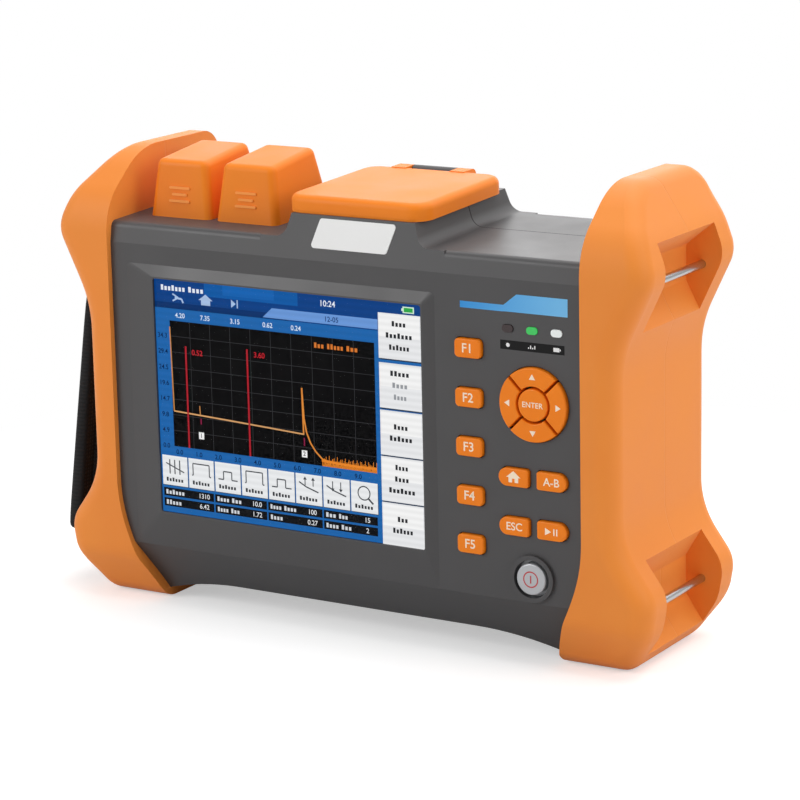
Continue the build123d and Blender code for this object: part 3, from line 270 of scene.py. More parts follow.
casing_plastic, shader = plastic("moulded grey PC ABS", "#474647", 0.44, Specular_IOR_Level=0.5)
_, broad = grain(casing_plastic, shader, 0.35, 0.02)
tint(casing_plastic, shader, broad.outputs[0], "#434243", "#4A494A")
dress(casing_plastic, "front_case", "rear_case", "battery_door")
seal_rubber, shader = plastic("black silicone cord", "#161616", 0.7)
grain(seal_rubber, shader, 0.3, 0.01)
dress(seal_rubber, "case_seal")
stand_plastic, shader = plastic("moulded grey nylon", "#3F3F41", 0.42)
grain(stand_plastic, shader, 0.4, 0.02)
dress(stand_plastic, "tilt_stand")


# Bumpers
# Overmoulded TPE rubber in a soft orange. The surface is matte with a faint sheen and has a
# fine leathery grain; a mould parting line runs round each bumper just behind its middle.
def emboss(finish, shader, height, depth_mm, strength):
    """Lays a second relief over the grain."""
    grain_bump = shader.inputs["Normal"].links[0].from_node
    relief = {"Height": height, "Distance": depth_mm / 1000, "Strength": strength}
    bump = add(finish, "ShaderNodeBump", {**relief, "Normal": grain_bump.outputs[0]})
    finish.node_tree.links.new(bump.outputs[0], shader.inputs["Normal"])


bumper_rubber, shader = plastic(
    "moulded orange TPE", "#F0924A", 0.55, Specular_IOR_Level=0.3, Sheen_Weight=0.1
)
place, broad = grain(bumper_rubber, shader, 0.5, 0.03, 0.08)
tint(bumper_rubber, shader, broad.outputs[0], "#EE872D", "#F2933C")
parting_place = 0.0020
axes = add(bumper_rubber, "ShaderNodeSeparateXYZ", {0: place.outputs["Object"]})
parting = add(
    bumper_rubber,
    "ShaderNodeMath",
    {0: axes.outputs["Y"], 1: parting_place},
    operation="SUBTRACT",
)
offset = add(bumper_rubber, "ShaderNodeMath", {0: parting.outputs[0]}, operation="ABSOLUTE")
emboss(bumper_rubber, shader, ramp(bumper_rubber, offset.outputs[0], 0.00005, 0.00025), 0.2, 0.7)
dress(bumper_rubber, "left_bumper", "right_bumper")


# Port caps and flip cover
# Softer TPE of a deeper orange, moulded in one piece each with its hinge lug. The caps' grip ribs
# have a painted highlight that makes them paler than the faces that they stand on.
cap_rubber, shader = plastic(
    "moulded deep orange TPE", "#EE7F26", 0.5, Specular_IOR_Level=0.3, Sheen_Weight=0.05
)
_, broad = grain(cap_rubber, shader, 0.4, 0.025, 0.08)
tint(cap_rubber, shader, broad.outputs[0], "#F17C0E", "#F98C1A")
dress(cap_rubber, "flip_cover")
# Copy of the cap rubber that carries a painted highlight on the grip ribs
rib_highlight_rubber = cap_rubber.copy()
rib_highlight_rubber.name = "moulded deep orange TPE with painted rib highlights"
shader = next(node for node in rib_highlight_rubber.node_tree.nodes if node.type == "BSDF_PRINCIPLED")
pigment = shader.inputs["Base Color"].links[0].from_node
place = add(rib_highlight_rubber, "ShaderNodeTexCoord")
# The caps' front faces lean back by 6 degrees and lie 35.6 mm from the origin, their ribs 36.1 mm
front_lean = (0, -0.99436, 0.10602)
forward = add(
    rib_highlight_rubber,
    "ShaderNodeVectorMath",
    {0: place.outputs["Object"], 1: front_lean},
    operation="DOT_PRODUCT",
)
# Painted highlight: the ribs stand proud of the caps' front faces, and there they are coloured a
# paler orange
proud = ramp(rib_highlight_rubber, forward.outputs["Value"], 0.0357, 0.0360)
rib_highlight = add(
    rib_highlight_rubber,
    "ShaderNodeMix",
    {0: proud, 6: pigment.outputs[2], 7: linear("#FF9E46")},
    data_type="RGBA",
)
rib_highlight_rubber.node_tree.links.new(rib_highlight.outputs[2], shader.inputs["Base Color"])
dress(rib_highlight_rubber, "otdr_cap", "vfl_cap")


# Display window and picture
# A clear coated acrylic window sits in the bezel over a backlit TFT. The picture is drawn just
# under the window's front: a trace with its event marks, a grid, soft keys and rows of values.

# The coating cancels nearly all of the mirror image, so the IOR is that of what it leaves
window_acrylic, shader = plastic(
    "coated clear acrylic", "#FFFFFF", 0.02, Transmission_Weight=1.0, IOR=1.02
)
grain(window_acrylic, shader, 2.0, 0.001, 0.01)
dress(window_acrylic, "display_window")
panel_frame, shader = plastic("black display frame", "#101114", 0.35)
grain(panel_frame, shader, 0.5, 0.005)
dress(panel_frame, "display_panel")

# The picture's lower left corner and its depth, in millimetres; shapes are given from that corner
picture_left = -78.0
picture_low = 36.65
picture_front = -34.9
layer_step = 0.02
text_front = picture_front - 0.16
glow_finishes = {}


def waves(finish, place, pitch_mm, direction, **inputs):
    """Bands at the given pitch; Blender's lie tau / 20 of a metre apart at scale 1."""
    scale = math.tau / 20 / (pitch_mm / 1000)
    values = {"Vector": place.outputs["Object"], "Scale": scale, **inputs}
    return add(finish, "ShaderNodeTexWave", values, bands_direction=direction).outputs["Fac"]


def glow(colour, strength=0.92):
    """Backlit colour of the display, broken by the faint lines of its pixel rows."""
    if colour not in glow_finishes:
        name = "backlit " + colour[1:].lower()
        finish, shader = plastic(name, "#020202", 0.35, Specular_IOR_Level=0.05)
        place = add(finish, "ShaderNodeTexCoord")
        # The real rows are 0.14 mm apart, too fine to show, so they are drawn 2.4 mm apart
        rows = waves(finish, place, 2.3687, "Z", Distortion=0.0)
        level = ramp(finish, rows, 0, 1, strength * 0.96, strength * 1.04)
        shader.inputs["Emission Color"].default_value = linear(colour)
        finish.node_tree.links.new(level, shader.inputs["Emission Strength"])
        glow_finishes[colour] = finish
    return glow_finishes[colour]


def ride_and_paint(piece, finish, body):
    """Gives a piece its material and fixes it to a body."""
    piece.data.materials.append(finish)
    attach(piece, body)
    return piece


picture_shapes = {}


def draw(colour, corners, layer):
    """Keeps one flat shape of the picture, given by its corners in millimetres."""
    picture_shapes.setdefault((colour, layer), []).append(corners)


def oblong(left, low, wide, high):
    """Corners of an upright rectangle."""
    return [(left, low), (left + wide, low), (left + wide, low + high), (left, low + high)]


def bar(colour, left, low, wide, high, layer):
    """Upright rectangle of the picture."""
    draw(colour, oblong(left, low, wide, high), layer)


def stroke(colour, points, thickness, layer):
    """Line of the picture, drawn as one quad for each of its runs."""
    for (x0, z0), (x1, z1) in zip(points, points[1:]):
        length = math.hypot(x1 - x0, z1 - z0)
        dx = (z1 - z0) / length * thickness / 2
        dz = (x0 - x1) / length * thickness / 2
        corners = [(x1 + dx, z1 + dz), (x1 - dx, z1 - dz), (x0 - dx, z0 - dz), (x0 + dx, z0 + dz)]
        draw(colour, corners, layer)


def words(colour, left, low, lengths, height, layer):
    """Words without meaning, each a run of small blocks with a tall one now and then."""
    for length in lengths:
        count = max(1, round(length / (height * 0.8)))
        pitch = length / count
        for letter in range(count):
            tall = height if letter == 0 or (letter * 7 + count) % 4 == 0 else height * 0.74
            bar(colour, left + letter * pitch, low, pitch * 0.66, tall, layer)
        left += length + height * 0.55


# Ground, title bar, date tab, signs and battery level
icon_blue = "#A9C3E6"
picture_wide, picture_high, title_low = 113, 87.5, 76.8
bar("#1F66AE", 0, 0, picture_wide, picture_high, 0)
bar("#0B4187", 0, title_low, picture_wide, picture_high - title_low, 1)
bar("#0E5AA6", 22, 82.5, 40, 5.0, 2)
bar("#1664B4", 30, 83.6, 22, 3.9, 3)
bar("#08326B", 0, title_low, 58, 2.2, 2)
draw("#6C9ADB", [(47, 77.2), (95, 77.2), (95, 80.8), (51, 80.8)], 3)
home_sign = [(20.5, 79.2), (24.5, 79.2), (24.5, 81), (25.6, 81), (22.5, 83.2), (19.4, 81), (20.5, 81)]
words("#E8F0FA", 3, 83.4, [11, 7], 2.0, 4)
stroke(icon_blue, [(8, 79.7), (10.5, 81), (8, 82.3)], 0.6, 4)
stroke(icon_blue, [(9, 81), (12, 80.6), (12.6, 79.2)], 0.7, 4)
draw(icon_blue, home_sign, 4)
draw(icon_blue, [(33.6, 79.4), (35.6, 80.9), (33.6, 82.4)], 4)
bar(icon_blue, 36, 79.4, 0.5, 3, 4)
bar("#D6F2DA", 105.3, 84.0, 4.6, 2.3, 3)
bar("#2FA84A", 105.8, 84.4, 3.6, 1.5, 4)
bar("#D6F2DA", 104.8, 84.7, 0.5, 0.9, 3)

# Plot: grid, two cursors, the trace with two events, the fibre's end and the noise after it
plot_left, plot_low, plot_wide, plot_high = 6.2, 25.3, 87.2, 47.0
grid_grey, cursor_red, event_red, noise_orange = "#343437", "#B2202C", "#8E1E46", "#F08A2A"
bar("#040405", plot_left, plot_low, plot_wide, plot_high, 1)
for column in range(1, 10):
    bar(grid_grey, plot_left + column * plot_wide / 10, plot_low, 0.22, plot_high, 2)
for row in range(1, 8):
    bar(grid_grey, plot_left, plot_low + row * plot_high / 8, plot_wide, 0.22, 2)
bar(cursor_red, 12.6, plot_low, 0.7, 38, 4)
bar(cursor_red, 39.4, plot_low, 0.7, 39.5, 4)
words("#D9792F", 68.5, 68.2, [4.4, 7, 5], 1.9, 4)
stroke("#C98A4A", [(plot_left, 70), (plot_left + 0.6, 38.6)], 0.5, 3)
stroke("#D9A26A", [(plot_left + 0.6, 38.6), (31, 37.6), (63.2, 36.1)], 0.55, 3)
stroke("#C98A4A", [(18.4, 38.0), (18.2, 41.6)], 0.4, 3)
peak = [(63.0, 36.1), (62.7, 53.0), (63.3, 42.0)]
tail = [(64.2, 37.0), (65.8, 33.2), (68.0, 30.2), (70.6, 27.9), (73, 26.8)]
stroke("#E08B3A", peak + tail, 0.6, 3)
stroke(event_red, [(18.6, 36.9), (18.6, 34.8)], 0.5, 3)
stroke(event_red, [(63.2, 34.8), (63.2, 31.8)], 0.5, 3)
bar("#F4F4F4", 17.4, 29.2, 2.3, 2.6, 3)
bar("#F4F4F4", 62.0, 27.6, 2.3, 2.6, 3)
for step in range(88):
    # Noise floor: teeth whose heights follow two sine waves, so that every run gives the same
    x = 70.6 + step * 0.26
    tooth = 2.3 + 1.0 * math.sin(step * 2.4) + 0.8 * math.sin(step * 5.3)
    bar(noise_orange, x, plot_low, 0.2, max(0.5, tooth), 4)
stroke(noise_orange, [(70.4, 27.4), (77, 27.0), (85, 26.8), (93.3, 26.9)], 0.9, 5)

# Row of eight tool signs: ruler, four pulse forms, two event signs and a magnifying glass
sign_grey = "#44484E"
tool_pitch, tool_wide, tool_high = 11.68, 11.1, 11.2
for cell in range(8):
    left = 0.6 + cell * tool_pitch
    bar("#3A4C66", left + 0.25, 10.0, tool_wide, tool_high, 2)
    bar("#EEF0F2", left, 10.3, tool_wide, tool_high, 3)
    words("#33363B", left + 1.6, 11.7, [7.8], 1.5, 4)
    if cell == 0:
        for bar_place in (3.0, 5.2, 7.4):
            bar(sign_grey, left + bar_place, 14.6, 0.5, 5.4, 4)
        stroke(sign_grey, [(left + 1.6, 18.6), (left + 9.6, 15.6)], 0.45, 5)
    elif cell == 7:
        glass_radius = 2.5
        glass = []
        for turn in range(17):
            angle = turn / 8 * math.pi
            x = left + 5.4 + glass_radius * math.cos(angle)
            glass.append((x, 17.4 + glass_radius * math.sin(angle)))
        stroke(sign_grey, glass, 0.45, 4)
        stroke(sign_grey, [(left + 7.2, 15.6), (left + 9.2, 13.8)], 0.7, 5)
    elif cell in (5, 6):
        stroke(sign_grey, [(left + 1.4, 18.4), (left + 4.4, 16.8), (left + 9.6, 15.2)], 0.5, 4)
        for x in (left + 4, left + 7.4):
            stroke(sign_grey, [(x, 17.2), (x, 20.2)], 0.4, 5)
            # Arrow tips up on the one, down on the other
            tip, root, order = (20.6, 19.4, 1) if cell == 5 else (16.4, 17.6, -1)
            draw(sign_grey, [(x - 0.8, root), (x + 0.8, root), (x, tip)][::order], 5)
    else:
        base = 15.2
        crest = 19.6 if cell in (1, 3) else 18.2
        step_wide = 3.6 if cell in (1, 3) else 1.8
        middle = left + 5.5
        square = [
            (left + 1.4, base),
            (middle - step_wide, base),
            (middle - step_wide, crest),
            (middle + step_wide, crest),
            (middle + step_wide, base),
            (left + 9.8, base),
        ]
        stroke(sign_grey, square, 0.45, 4)

# Table under the tools: each field's left side, width, words of its two rows and its two values
table_cells = (
    (0.8, 22.2, ([8.5], [7.0]), ("1310", "6.42")),
    (23.6, 22.6, ([5.5, 4.5], [5.0, 4.0]), ("10.0", "1.72")),
    (46.8, 23.2, ([5.0, 5.5], [5.5]), ("100", "0.27")),
    (70.6, 22.6, ([4.5, 4.0], [5.5, 4.5]), ("15", "2")),
)
for row, low in enumerate((6.1, 2.2)):
    for left, wide, lengths, _ in table_cells:
        bar("#101216", left, low, wide, 3.1, 2)
        words("#D8DCE2", left + 1, low + 0.7, lengths[row], 1.7, 3)

# Soft keys down the right side, with the lengths of the words on each; two lines are greyed out
soft_keys = {
    83.6: ([6], [11], [8.5]),
    65.9: ([8], [6.5], [5.5]),
    48.9: ([6], [9.5]),
    32.2: ([5.5], [6], [11]),
    15.5: ([4.5], [8.5]),
}
for top, lines in soft_keys.items():
    bar("#2B3C55", 95.5, top - 16.9, 17.5, 16.6, 2)
    bar("#ECEDEF", 95.2, top - 16.4, 17.3, 16.2, 3)
    bar("#F8F8F8", 95.6, top - 8.6, 16.4, 7.8, 4)
    for line, lengths in enumerate(lines):
        low = top - 8.2 + (len(lines) / 2 - line) * 4.2 - 2.8
        grey = "#9A9DA2" if top == 65.9 and line > 0 else "#26282C"
        words(grey, 103.8 - sum(lengths) / 2, low, lengths, 1.9, 5)


def inlay(name, outlines, depth, finish, body):
    """Flat print on the front, made of outlines in millimetres of the tester's own frame."""
    points = []
    faces = []
    for outline in outlines:
        faces.append(tuple(range(len(points), len(points) + len(outline))))
        points += [(x / 1000, depth / 1000, z / 1000) for x, z in outline]
    return ride_and_paint(polygon_mesh(name, points, faces), finish, body)


for (colour, layer), shapes in picture_shapes.items():
    # Each layer lies a little nearer to the eye than the one below
    outlines = [[(picture_left + x, picture_low + z) for x, z in shape] for shape in shapes]
    name = f"picture_{colour[1:].lower()}_{layer}"
    inlay(name, outlines, picture_front - layer * layer_step, glow(colour), "tester")


def lettering(name, text, size, x, z, depth, finish, body):
    """Printed characters on a face that looks to the front, at a middle given in millimetres."""
    curve = bpy.data.curves.new(name, "FONT")
    curve.body = text
    curve.size = size / 1000
    curve.align_x = "CENTER"
    curve.align_y = "CENTER"
    # The font is thin, so its strokes are swollen a little
    curve.offset = size * 0.000012
    stand_in = bpy.data.objects.new(name + "_curve", curve)
    mesh = bpy.data.meshes.new_from_object(stand_in)
    bpy.data.objects.remove(stand_in)
    upright = Matrix.Rotation(math.pi / 2, 4, "X")
    mesh.transform(Matrix.Translation((x / 1000, depth / 1000, z / 1000)) @ upright)
    piece = bpy.data.objects.new(name, mesh)
    scene.collection.objects.link(piece)
    return ride_and_paint(piece, finish, body)


def figure(name, text, size, x, z, ink):
    """Backlit characters of the picture, at a middle given from its corner."""
    place = (picture_left + x, picture_low + z, text_front)
    lettering(name, text, size, *place, glow(ink), "tester")


scale_blue = "#05224E"
for number in range(8):
    value = f"{(7 - number) * 4.9:.1f}"
    figure(f"scale_{number}", value, 2.5, 2.9, 66.5 - number * 5.9, scale_blue)
for number in range(10):
    x = plot_left + 2.4 + number * plot_wide / 10.2
    figure(f"distance_{number}", f"{number}.0", 2.5, x, 23.2, scale_blue)
# Clock, date, the values over the plot and the two cursors' values
for number, (text, size, x, z, ink) in enumerate(
    (
        ("10:24", 3.0, 74.5, 84.4, "#E8F0FA"),
        ("12-05", 2.6, 76, 78.9, "#173A73"),
        ("4.20", 2.5, 11, 74.4, "#DCEBFA"),
        ("7.35", 2.5, 22, 74.4, "#DCEBFA"),
        ("3.15", 2.5, 35, 74.4, "#DCEBFA"),
        ("0.62", 2.5, 49, 74.4, "#DCEBFA"),
        ("0.24", 2.5, 61, 74.4, "#DCEBFA"),
        ("0.52", 2.8, 18, 61.2, "#C4222E"),
        ("3.60", 2.8, 45, 63.0, "#C4222E"),
    )
):
    figure(f"figure_{number}", text, size, x, z, ink)
for column, (left, wide, _, values) in enumerate(table_cells):
    for row, text in enumerate(values):
        figure(f"table_{column}_{row}", text, 2.5, left + wide - 4.2, 7.6 - row * 3.9, "#E4E7EB")
figure("event_1", "1", 2.3, 18.55, 30.5, "#222222")
figure("event_2", "2", 2.3, 63.15, 28.9, "#222222")


# Prints on the front
# Silk-screened inks: a blue stripe over the key field, stepped down to a thin one, and a black
# bar under the lenses with a small sign for each. The inks are smoother than the grey grain.
def front_middle(node):
    """Middle of a CAD node seen from the front, in millimetres."""
    low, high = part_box(node)
    return (low.x + high.x) / 2 * 1000, (low.z + high.z) / 2 * 1000


blue_ink, shader = plastic("blue screen ink", "#3F9BD8", 0.35)
place = add(blue_ink, "ShaderNodeTexCoord")
axes = add(blue_ink, "ShaderNodeSeparateXYZ", {0: place.outputs["Object"]})
# The stripe's broad part on the right slopes down to a thin part on the left
stripe_left, stripe_right = 50, 91.6
ink_front = -34.54
fade = ramp(blue_ink, axes.outputs["X"], stripe_left / 1000, stripe_right / 1000)
tint(blue_ink, shader, fade, "#2391DC", "#74C0F0")
underside = [(stripe_left, 124.7), (66.2, 124.7), (67.6, 124.8), (stripe_right, 124.8)]
topside = [(stripe_right, 131), (72.1, 131), (67.0, 127), (stripe_left, 127)]
inlay("stripe", [underside + topside], ink_front, blue_ink, "tester")
black_ink, shader = plastic("black screen ink", "#0C0C0D", 0.4, Specular_IOR_Level=0.2)
grain(black_ink, shader, 0.4, 0.004)
inlay("legend_bar", [oblong(65.6, 111.7, 24.7, 3.2)], ink_front, black_ink, "tester")
white_ink, shader = plastic("white screen ink", "#EDEDED", 0.4)
grain(white_ink, shader, 0.4, 0.004)
# Under the lenses: a light spot, four pulses of a signal and a battery
alarm_x = front_middle("alarm_lens")[0]
status_x = front_middle("status_lens")[0]
charge_x = front_middle("charge_lens")[0]
spot_radius = 0.75
spot = []
for turn in range(8):
    angle = turn * math.pi / 4
    spot.append((alarm_x + spot_radius * math.cos(angle), 113.3 + spot_radius * math.sin(angle)))
pulses = [oblong(status_x - 1.6 + i * 0.8, 112.7, 0.4, 0.5 + 0.7 * (i % 2)) for i in range(4)]
battery = [oblong(charge_x - 1.3, 112.6, 2.3, 1.4), oblong(charge_x + 1.1, 113.0, 0.4, 0.6)]
inlay("lens_signs", [spot] + pulses + battery, ink_front - 0.04, white_ink, "tester")


# Keys
# Single caps of hard-coated orange silicone, satin on top and rounded at the rim. Their signs are
# printed in a pale ink, each placed from its own key's middle and front in the frame.
key_rubber, shader = plastic(
    "coated orange silicone", "#F5801C", 0.42, Specular_IOR_Level=0.25, Coat_Weight=0.05
)
_, broad = grain(key_rubber, shader, 0.3, 0.012, 0.05)
tint(key_rubber, shader, broad.outputs[0], "#F47B08", "#FB8A14")
dress(key_rubber, "f1_key", "f2_key", "f3_key", "f4_key", "f5_key")
dress(key_rubber, "up_key", "down_key", "left_key", "right_key", "enter_key")
dress(key_rubber, "home_key", "marker_key", "escape_key", "run_key")
pale_ink, shader = plastic("pale key ink", "#FFE9CF", 0.4)
grain(pale_ink, shader, 0.3, 0.004)


def key_face(key):
    """Middle of a key seen from the front, and the depth of a print on it, in millimetres."""
    ink_proud = 0.03
    return *front_middle(key + "_key"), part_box(key + "_key")[0].y * 1000 - ink_proud


def key_text(key, text, size, right=0, up=0):
    """Characters on a key, at its middle or a little beside it."""
    x, z, front = key_face(key)
    lettering(key + "_sign", text, size, x + right, z + up, front, pale_ink, key + "_key")


def key_sign(key, outlines, ink, right=0, up=0):
    """Sign on a key, its outlines given from the key's middle or from a point beside it."""
    x, z, front = key_face(key)
    moved = [[(x + right + a, z + up + b) for a, b in outline] for outline in outlines]
    inlay(key + "_sign", moved, front, ink, key + "_key")


for number in range(1, 6):
    key_text(f"f{number}", f"F{number}", 4.6)
key_text("enter", "ENTER", 2.7)
key_text("marker", "A-B", 4.0, 0.1, -0.1)
key_text("escape", "ESC", 3.9, 0.3)
for key, degrees in (("right", 0), ("up", 90), ("left", 180), ("down", 270)):
    c = math.cos(math.radians(degrees))
    s = math.sin(math.radians(degrees))
    arrow = [(1.5, 0), (-0.5, 1.2), (-0.5, -1.2)]
    key_sign(key, [[(c * a - s * b, s * a + c * b) for a, b in arrow]], pale_ink)
door_left = [(-1.9, -1.7), (-0.5, -1.7), (-0.5, -0.3)]
door_right = [(0.5, -0.3), (0.5, -1.7), (1.9, -1.7)]
roof = [(1.9, 0.1), (2.8, 0.1), (0, 2.4), (-2.8, 0.1), (-1.9, 0.1)]
key_sign("home", [door_left + door_right + roof], pale_ink, 0.2)
play = [(-2.5, -1.3), (-0.1, 0), (-2.5, 1.3)]
pause = [oblong(0.7, -1.2, 0.5, 2.4), oblong(1.8, -1.2, 0.5, 2.4)]
key_sign("run", [play] + pause, pale_ink)


# Power key
# A satin silver-painted disc with a red ring and bar printed on it, in a dark moat behind the
# raised ring of the casing.
silver_paint, shader = plastic("silver painted ABS", "#BDBFC2", 0.38, Metallic=0.35)
grain(silver_paint, shader, 0.25, 0.006, 0.04)
dress(silver_paint, "power_key")
red_ink, shader = plastic("red screen ink", "#C23A3E", 0.4)
grain(red_ink, shader, 0.3, 0.004)
ring = []
inner_radius, outer_radius, ring_parts = 2.5, 2.95, 24
for part in range(ring_parts):
    start = part * math.tau / ring_parts
    end = (part + 1) * math.tau / ring_parts
    around = ((inner_radius, end), (outer_radius, end), (outer_radius, start), (inner_radius, start))
    ring.append([(r * math.cos(angle), r * math.sin(angle)) for r, angle in around])
key_sign("power", ring + [oblong(-0.25, -1.4, 0.5, 2.8)], red_ink)


# Indicator lenses
# Small moulded light guides of clear and tinted polycarbonate over lamps on the keypad board;
# the middle one glows green, the right one looks white and the left one is off.
for name, colour, light, strength in (
    ("alarm_lens", "#2A1416", "#401014", 0.0),
    ("status_lens", "#25A84A", "#2FCB55", 0.3),
    ("charge_lens", "#E6ECEA", "#FFFFFF", 0.1),
):
    lens_plastic, shader = plastic("tinted polycarbonate " + name, colour, 0.2, Coat_Weight=0.4)
    grain(lens_plastic, shader, 0.8, 0.01, 0.05)
    shader.inputs["Emission Color"].default_value = linear(light)
    shader.inputs["Emission Strength"].default_value = strength
    dress(lens_plastic, name)


# Tower plate
# A bare white plate of glossy PETG let into the leaning front of the tower, faintly wavy from
# its moulding.
white_petg, shader = plastic("white PETG plate", "#EFEFEE", 0.22, Coat_Weight=0.3)
grain(white_petg, shader, 3.0, 0.01, 0.04)
dress(white_petg, "tower_plate")


# Optical ports and laser module
# Nickel-plated brass adapters with a fine turned thread round the barrel, and a black anodised
# laser housing below the right one.
nickel, shader = plastic("nickel plated brass", "#C9C5BA", 0.24, Metallic=1.0)
place, _ = grain(nickel, shader, 0.2, 0.003, 0.05)
thread_pitch = 0.00075
thread_start, thread_full = 0.1482, 0.1486
axes = add(nickel, "ShaderNodeSeparateXYZ", {0: place.outputs["Object"]})
turns = add(
    nickel,
    "ShaderNodeMath",
    {0: axes.outputs["Z"], 1: math.tau / thread_pitch},
    operation="MULTIPLY",
)
thread = add(nickel, "ShaderNodeMath", {0: turns.outputs[0]}, operation="SINE")
above = ramp(nickel, axes.outputs["Z"], thread_start, thread_full)
cut = add(nickel, "ShaderNodeMath", {0: thread.outputs[0], 1: above}, operation="MULTIPLY")
emboss(nickel, shader, cut.outputs[0], 0.18, 0.8)
dress(nickel, "otdr_port", "vfl_port")
black_anodised, shader = plastic("black anodised aluminium", "#1C1D20", 0.32, Metallic=0.7)
grain(black_anodised, shader, 0.2, 0.005)
dress(black_anodised, "laser_module")


# Screws, pins and strap bars
# Zinc-plated screws with a dull bluish shine, and hinge pins and strap bars of ground stainless
# steel with a brighter one.
zinc, shader = plastic("zinc plated steel", "#B4B8BE", 0.34, Metallic=1.0)
grain(zinc, shader, 0.3, 0.006)
dress(zinc, "bracket_screws", "keypad_screws", "case_screws")
dress(zinc, "port_screws", "tray_screws", "door_screws")
stainless, shader = plastic("ground stainless steel", "#C8C8C8", 0.2, Metallic=1.0)
grain(stainless, shader, 0.25, 0.002, 0.05)
dress(stainless, "cap_pins", "cover_pin", "stand_pins")
dress(stainless, "left_lower_bar", "left_upper_bar", "right_lower_bar", "right_upper_bar")


# Circuit boards, modules and bracket
# Boards in a green solder mask with paler tracks below it, a tinned optical module, and a
# galvanised bracket with its spangle.
solder_mask, shader = plastic("green solder mask", "#0E5A32", 0.28, Coat_Weight=0.3)
place, _ = grain(solder_mask, shader, 0.3, 0.003, 0.04)
tracks = add(
    solder_mask,
    "ShaderNodeTexBrick",
    {
        "Vector": place.outputs["Object"],
        "Color1": linear("#0E5A32"),
        "Color2": linear("#14693C"),
        "Mortar": linear("#2C8A55"),
        "Scale": 260.0,
        "Mortar Size": 0.05,
    },
)
solder_mask.node_tree.links.new(tracks.outputs["Color"], shader.inputs["Base Color"])
dress(solder_mask, "keypad_board", "main_board", "interface_board")
tinplate, shader = plastic("tinned steel sheet", "#A9ACAF", 0.35, Metallic=1.0)
grain(tinplate, shader, 1.5, 0.004, 0.08)
dress(tinplate, "optical_module")
galvanised, shader = plastic("galvanised steel sheet", "#A3A8AC", 0.42, Metallic=1.0)
place, _ = grain(galvanised, shader, 0.8, 0.004, 0.06)
spangle = add(
    galvanised,
    "ShaderNodeTexVoronoi",
    {"Vector": place.outputs["Object"], "Scale": 220.0},
)
tint(galvanised, shader, spangle.outputs["Distance"], "#9AA0A5", "#B4B8BB")
dress(galvanised, "display_bracket")


# Interface bay
# Nickel-plated sockets for the universal serial bus, black moulded network and supply sockets,
# all in a tray of dark grey ABS.
socket_metal, shader = plastic("nickel plated sheet", "#BDBEBD", 0.26, Metallic=1.0)
grain(socket_metal, shader, 0.3, 0.003, 0.05)
dress(socket_metal, "usb_sockets", "usb_device_socket")
socket_black, shader = plastic("black moulded PBT", "#141415", 0.38)
grain(socket_black, shader, 0.3, 0.008)
dress(socket_black, "network_socket", "supply_socket")
tray_plastic, shader = plastic("dark grey ABS tray", "#2E2E30", 0.45)
grain(tray_plastic, shader, 0.35, 0.015)
dress(tray_plastic, "bay_tray")


# Battery
# Cells in a shrunk dark blue PVC sleeve. The film is glossy, and shrinking has left it faintly
# wavy.
sleeve, shader = plastic("shrunk blue PVC sleeve", "#223A5E", 0.3, Coat_Weight=0.2)
grain(sleeve, shader, 1.2, 0.02, 0.05)
dress(sleeve, "battery_pack")


# Hand strap webbing
# Black polyamide webbing, 26 mm wide and 2 mm thick, woven in a rib that runs across it. It is
# bent round both left bars along a centre line and follows the inner side of the padded sleeve.
def arc_line(middle_x, middle_z, radius, start, end, steps):
    """Points on an arc in the front view, angles in degrees."""
    points = []
    for step in range(steps + 1):
        angle = math.radians(start + (end - start) * step / steps)
        points.append((middle_x + radius * math.cos(angle), middle_z + radius * math.sin(angle)))
    return points


def eased(points, reach):
    """The line with each inner corner replaced by a short curve that starts at the given reach."""
    line = [Vector(points[0])]
    for before, corner, after in zip(points, points[1:], points[2:]):
        corner = Vector(corner)
        start = corner + (Vector(before) - corner).normalized() * reach
        end = corner + (Vector(after) - corner).normalized() * reach
        for step in range(7):
            t = step / 6
            line.append(start * (1 - t) ** 2 + corner * 2 * t * (1 - t) + end * t**2)
    line.append(Vector(points[-1]))
    return line


turn_radius = 2.9
corner_reach = 1.8
knees = [(-116.9, 134.0), (-116.11, 112.87), (-128.2, 20.3), (-116.5, 19.31)]
path = arc_line(*front_middle("left_upper_bar"), turn_radius, -100, 180, 28)
path += [tuple(point) for point in eased(knees, corner_reach)]
path += arc_line(*front_middle("left_lower_bar"), turn_radius, -90, 185, 28)

# Cross section with softly rounded selvedges, from one outer corner round to the other
far_side = [(12.6, 1.0), (13.0, 0.6), (13.0, -0.6), (12.6, -1.0)]
near_side = [(-12.6, -1.0), (-13.0, -0.6), (-13.0, 0.6), (-12.6, 1.0)]
section = far_side + near_side
corners = len(section)
points = []
for number, (x, z) in enumerate(path):
    before = Vector(path[max(number - 1, 0)])
    after = Vector(path[min(number + 1, len(path) - 1)])
    along = (after - before).normalized()
    across = Vector((-along.y, along.x))
    for side, lift in section:
        points.append(((x + across.x * lift) / 1000, side / 1000, (z + across.y * lift) / 1000))
faces = []
for first in range(0, len(points) - corners, corners):
    for side in range(corners):
        beside = (side + 1) % corners
        faces.append((first + side, first + beside, first + corners + beside, first + corners + side))
faces.append(tuple(range(corners))[::-1])
faces.append(tuple(range(len(points) - corners, len(points))))
webbing = polygon_mesh("webbing", points, faces)
for face in webbing.data.polygons:
    face.use_smooth = True
webbing_cloth, shader = plastic(
    "black woven polyamide", "#17171A", 0.72, Specular_IOR_Level=0.3, Sheen_Weight=0.1
)
place, _ = grain(webbing_cloth, shader, 0.4, 0.02, 0.05)
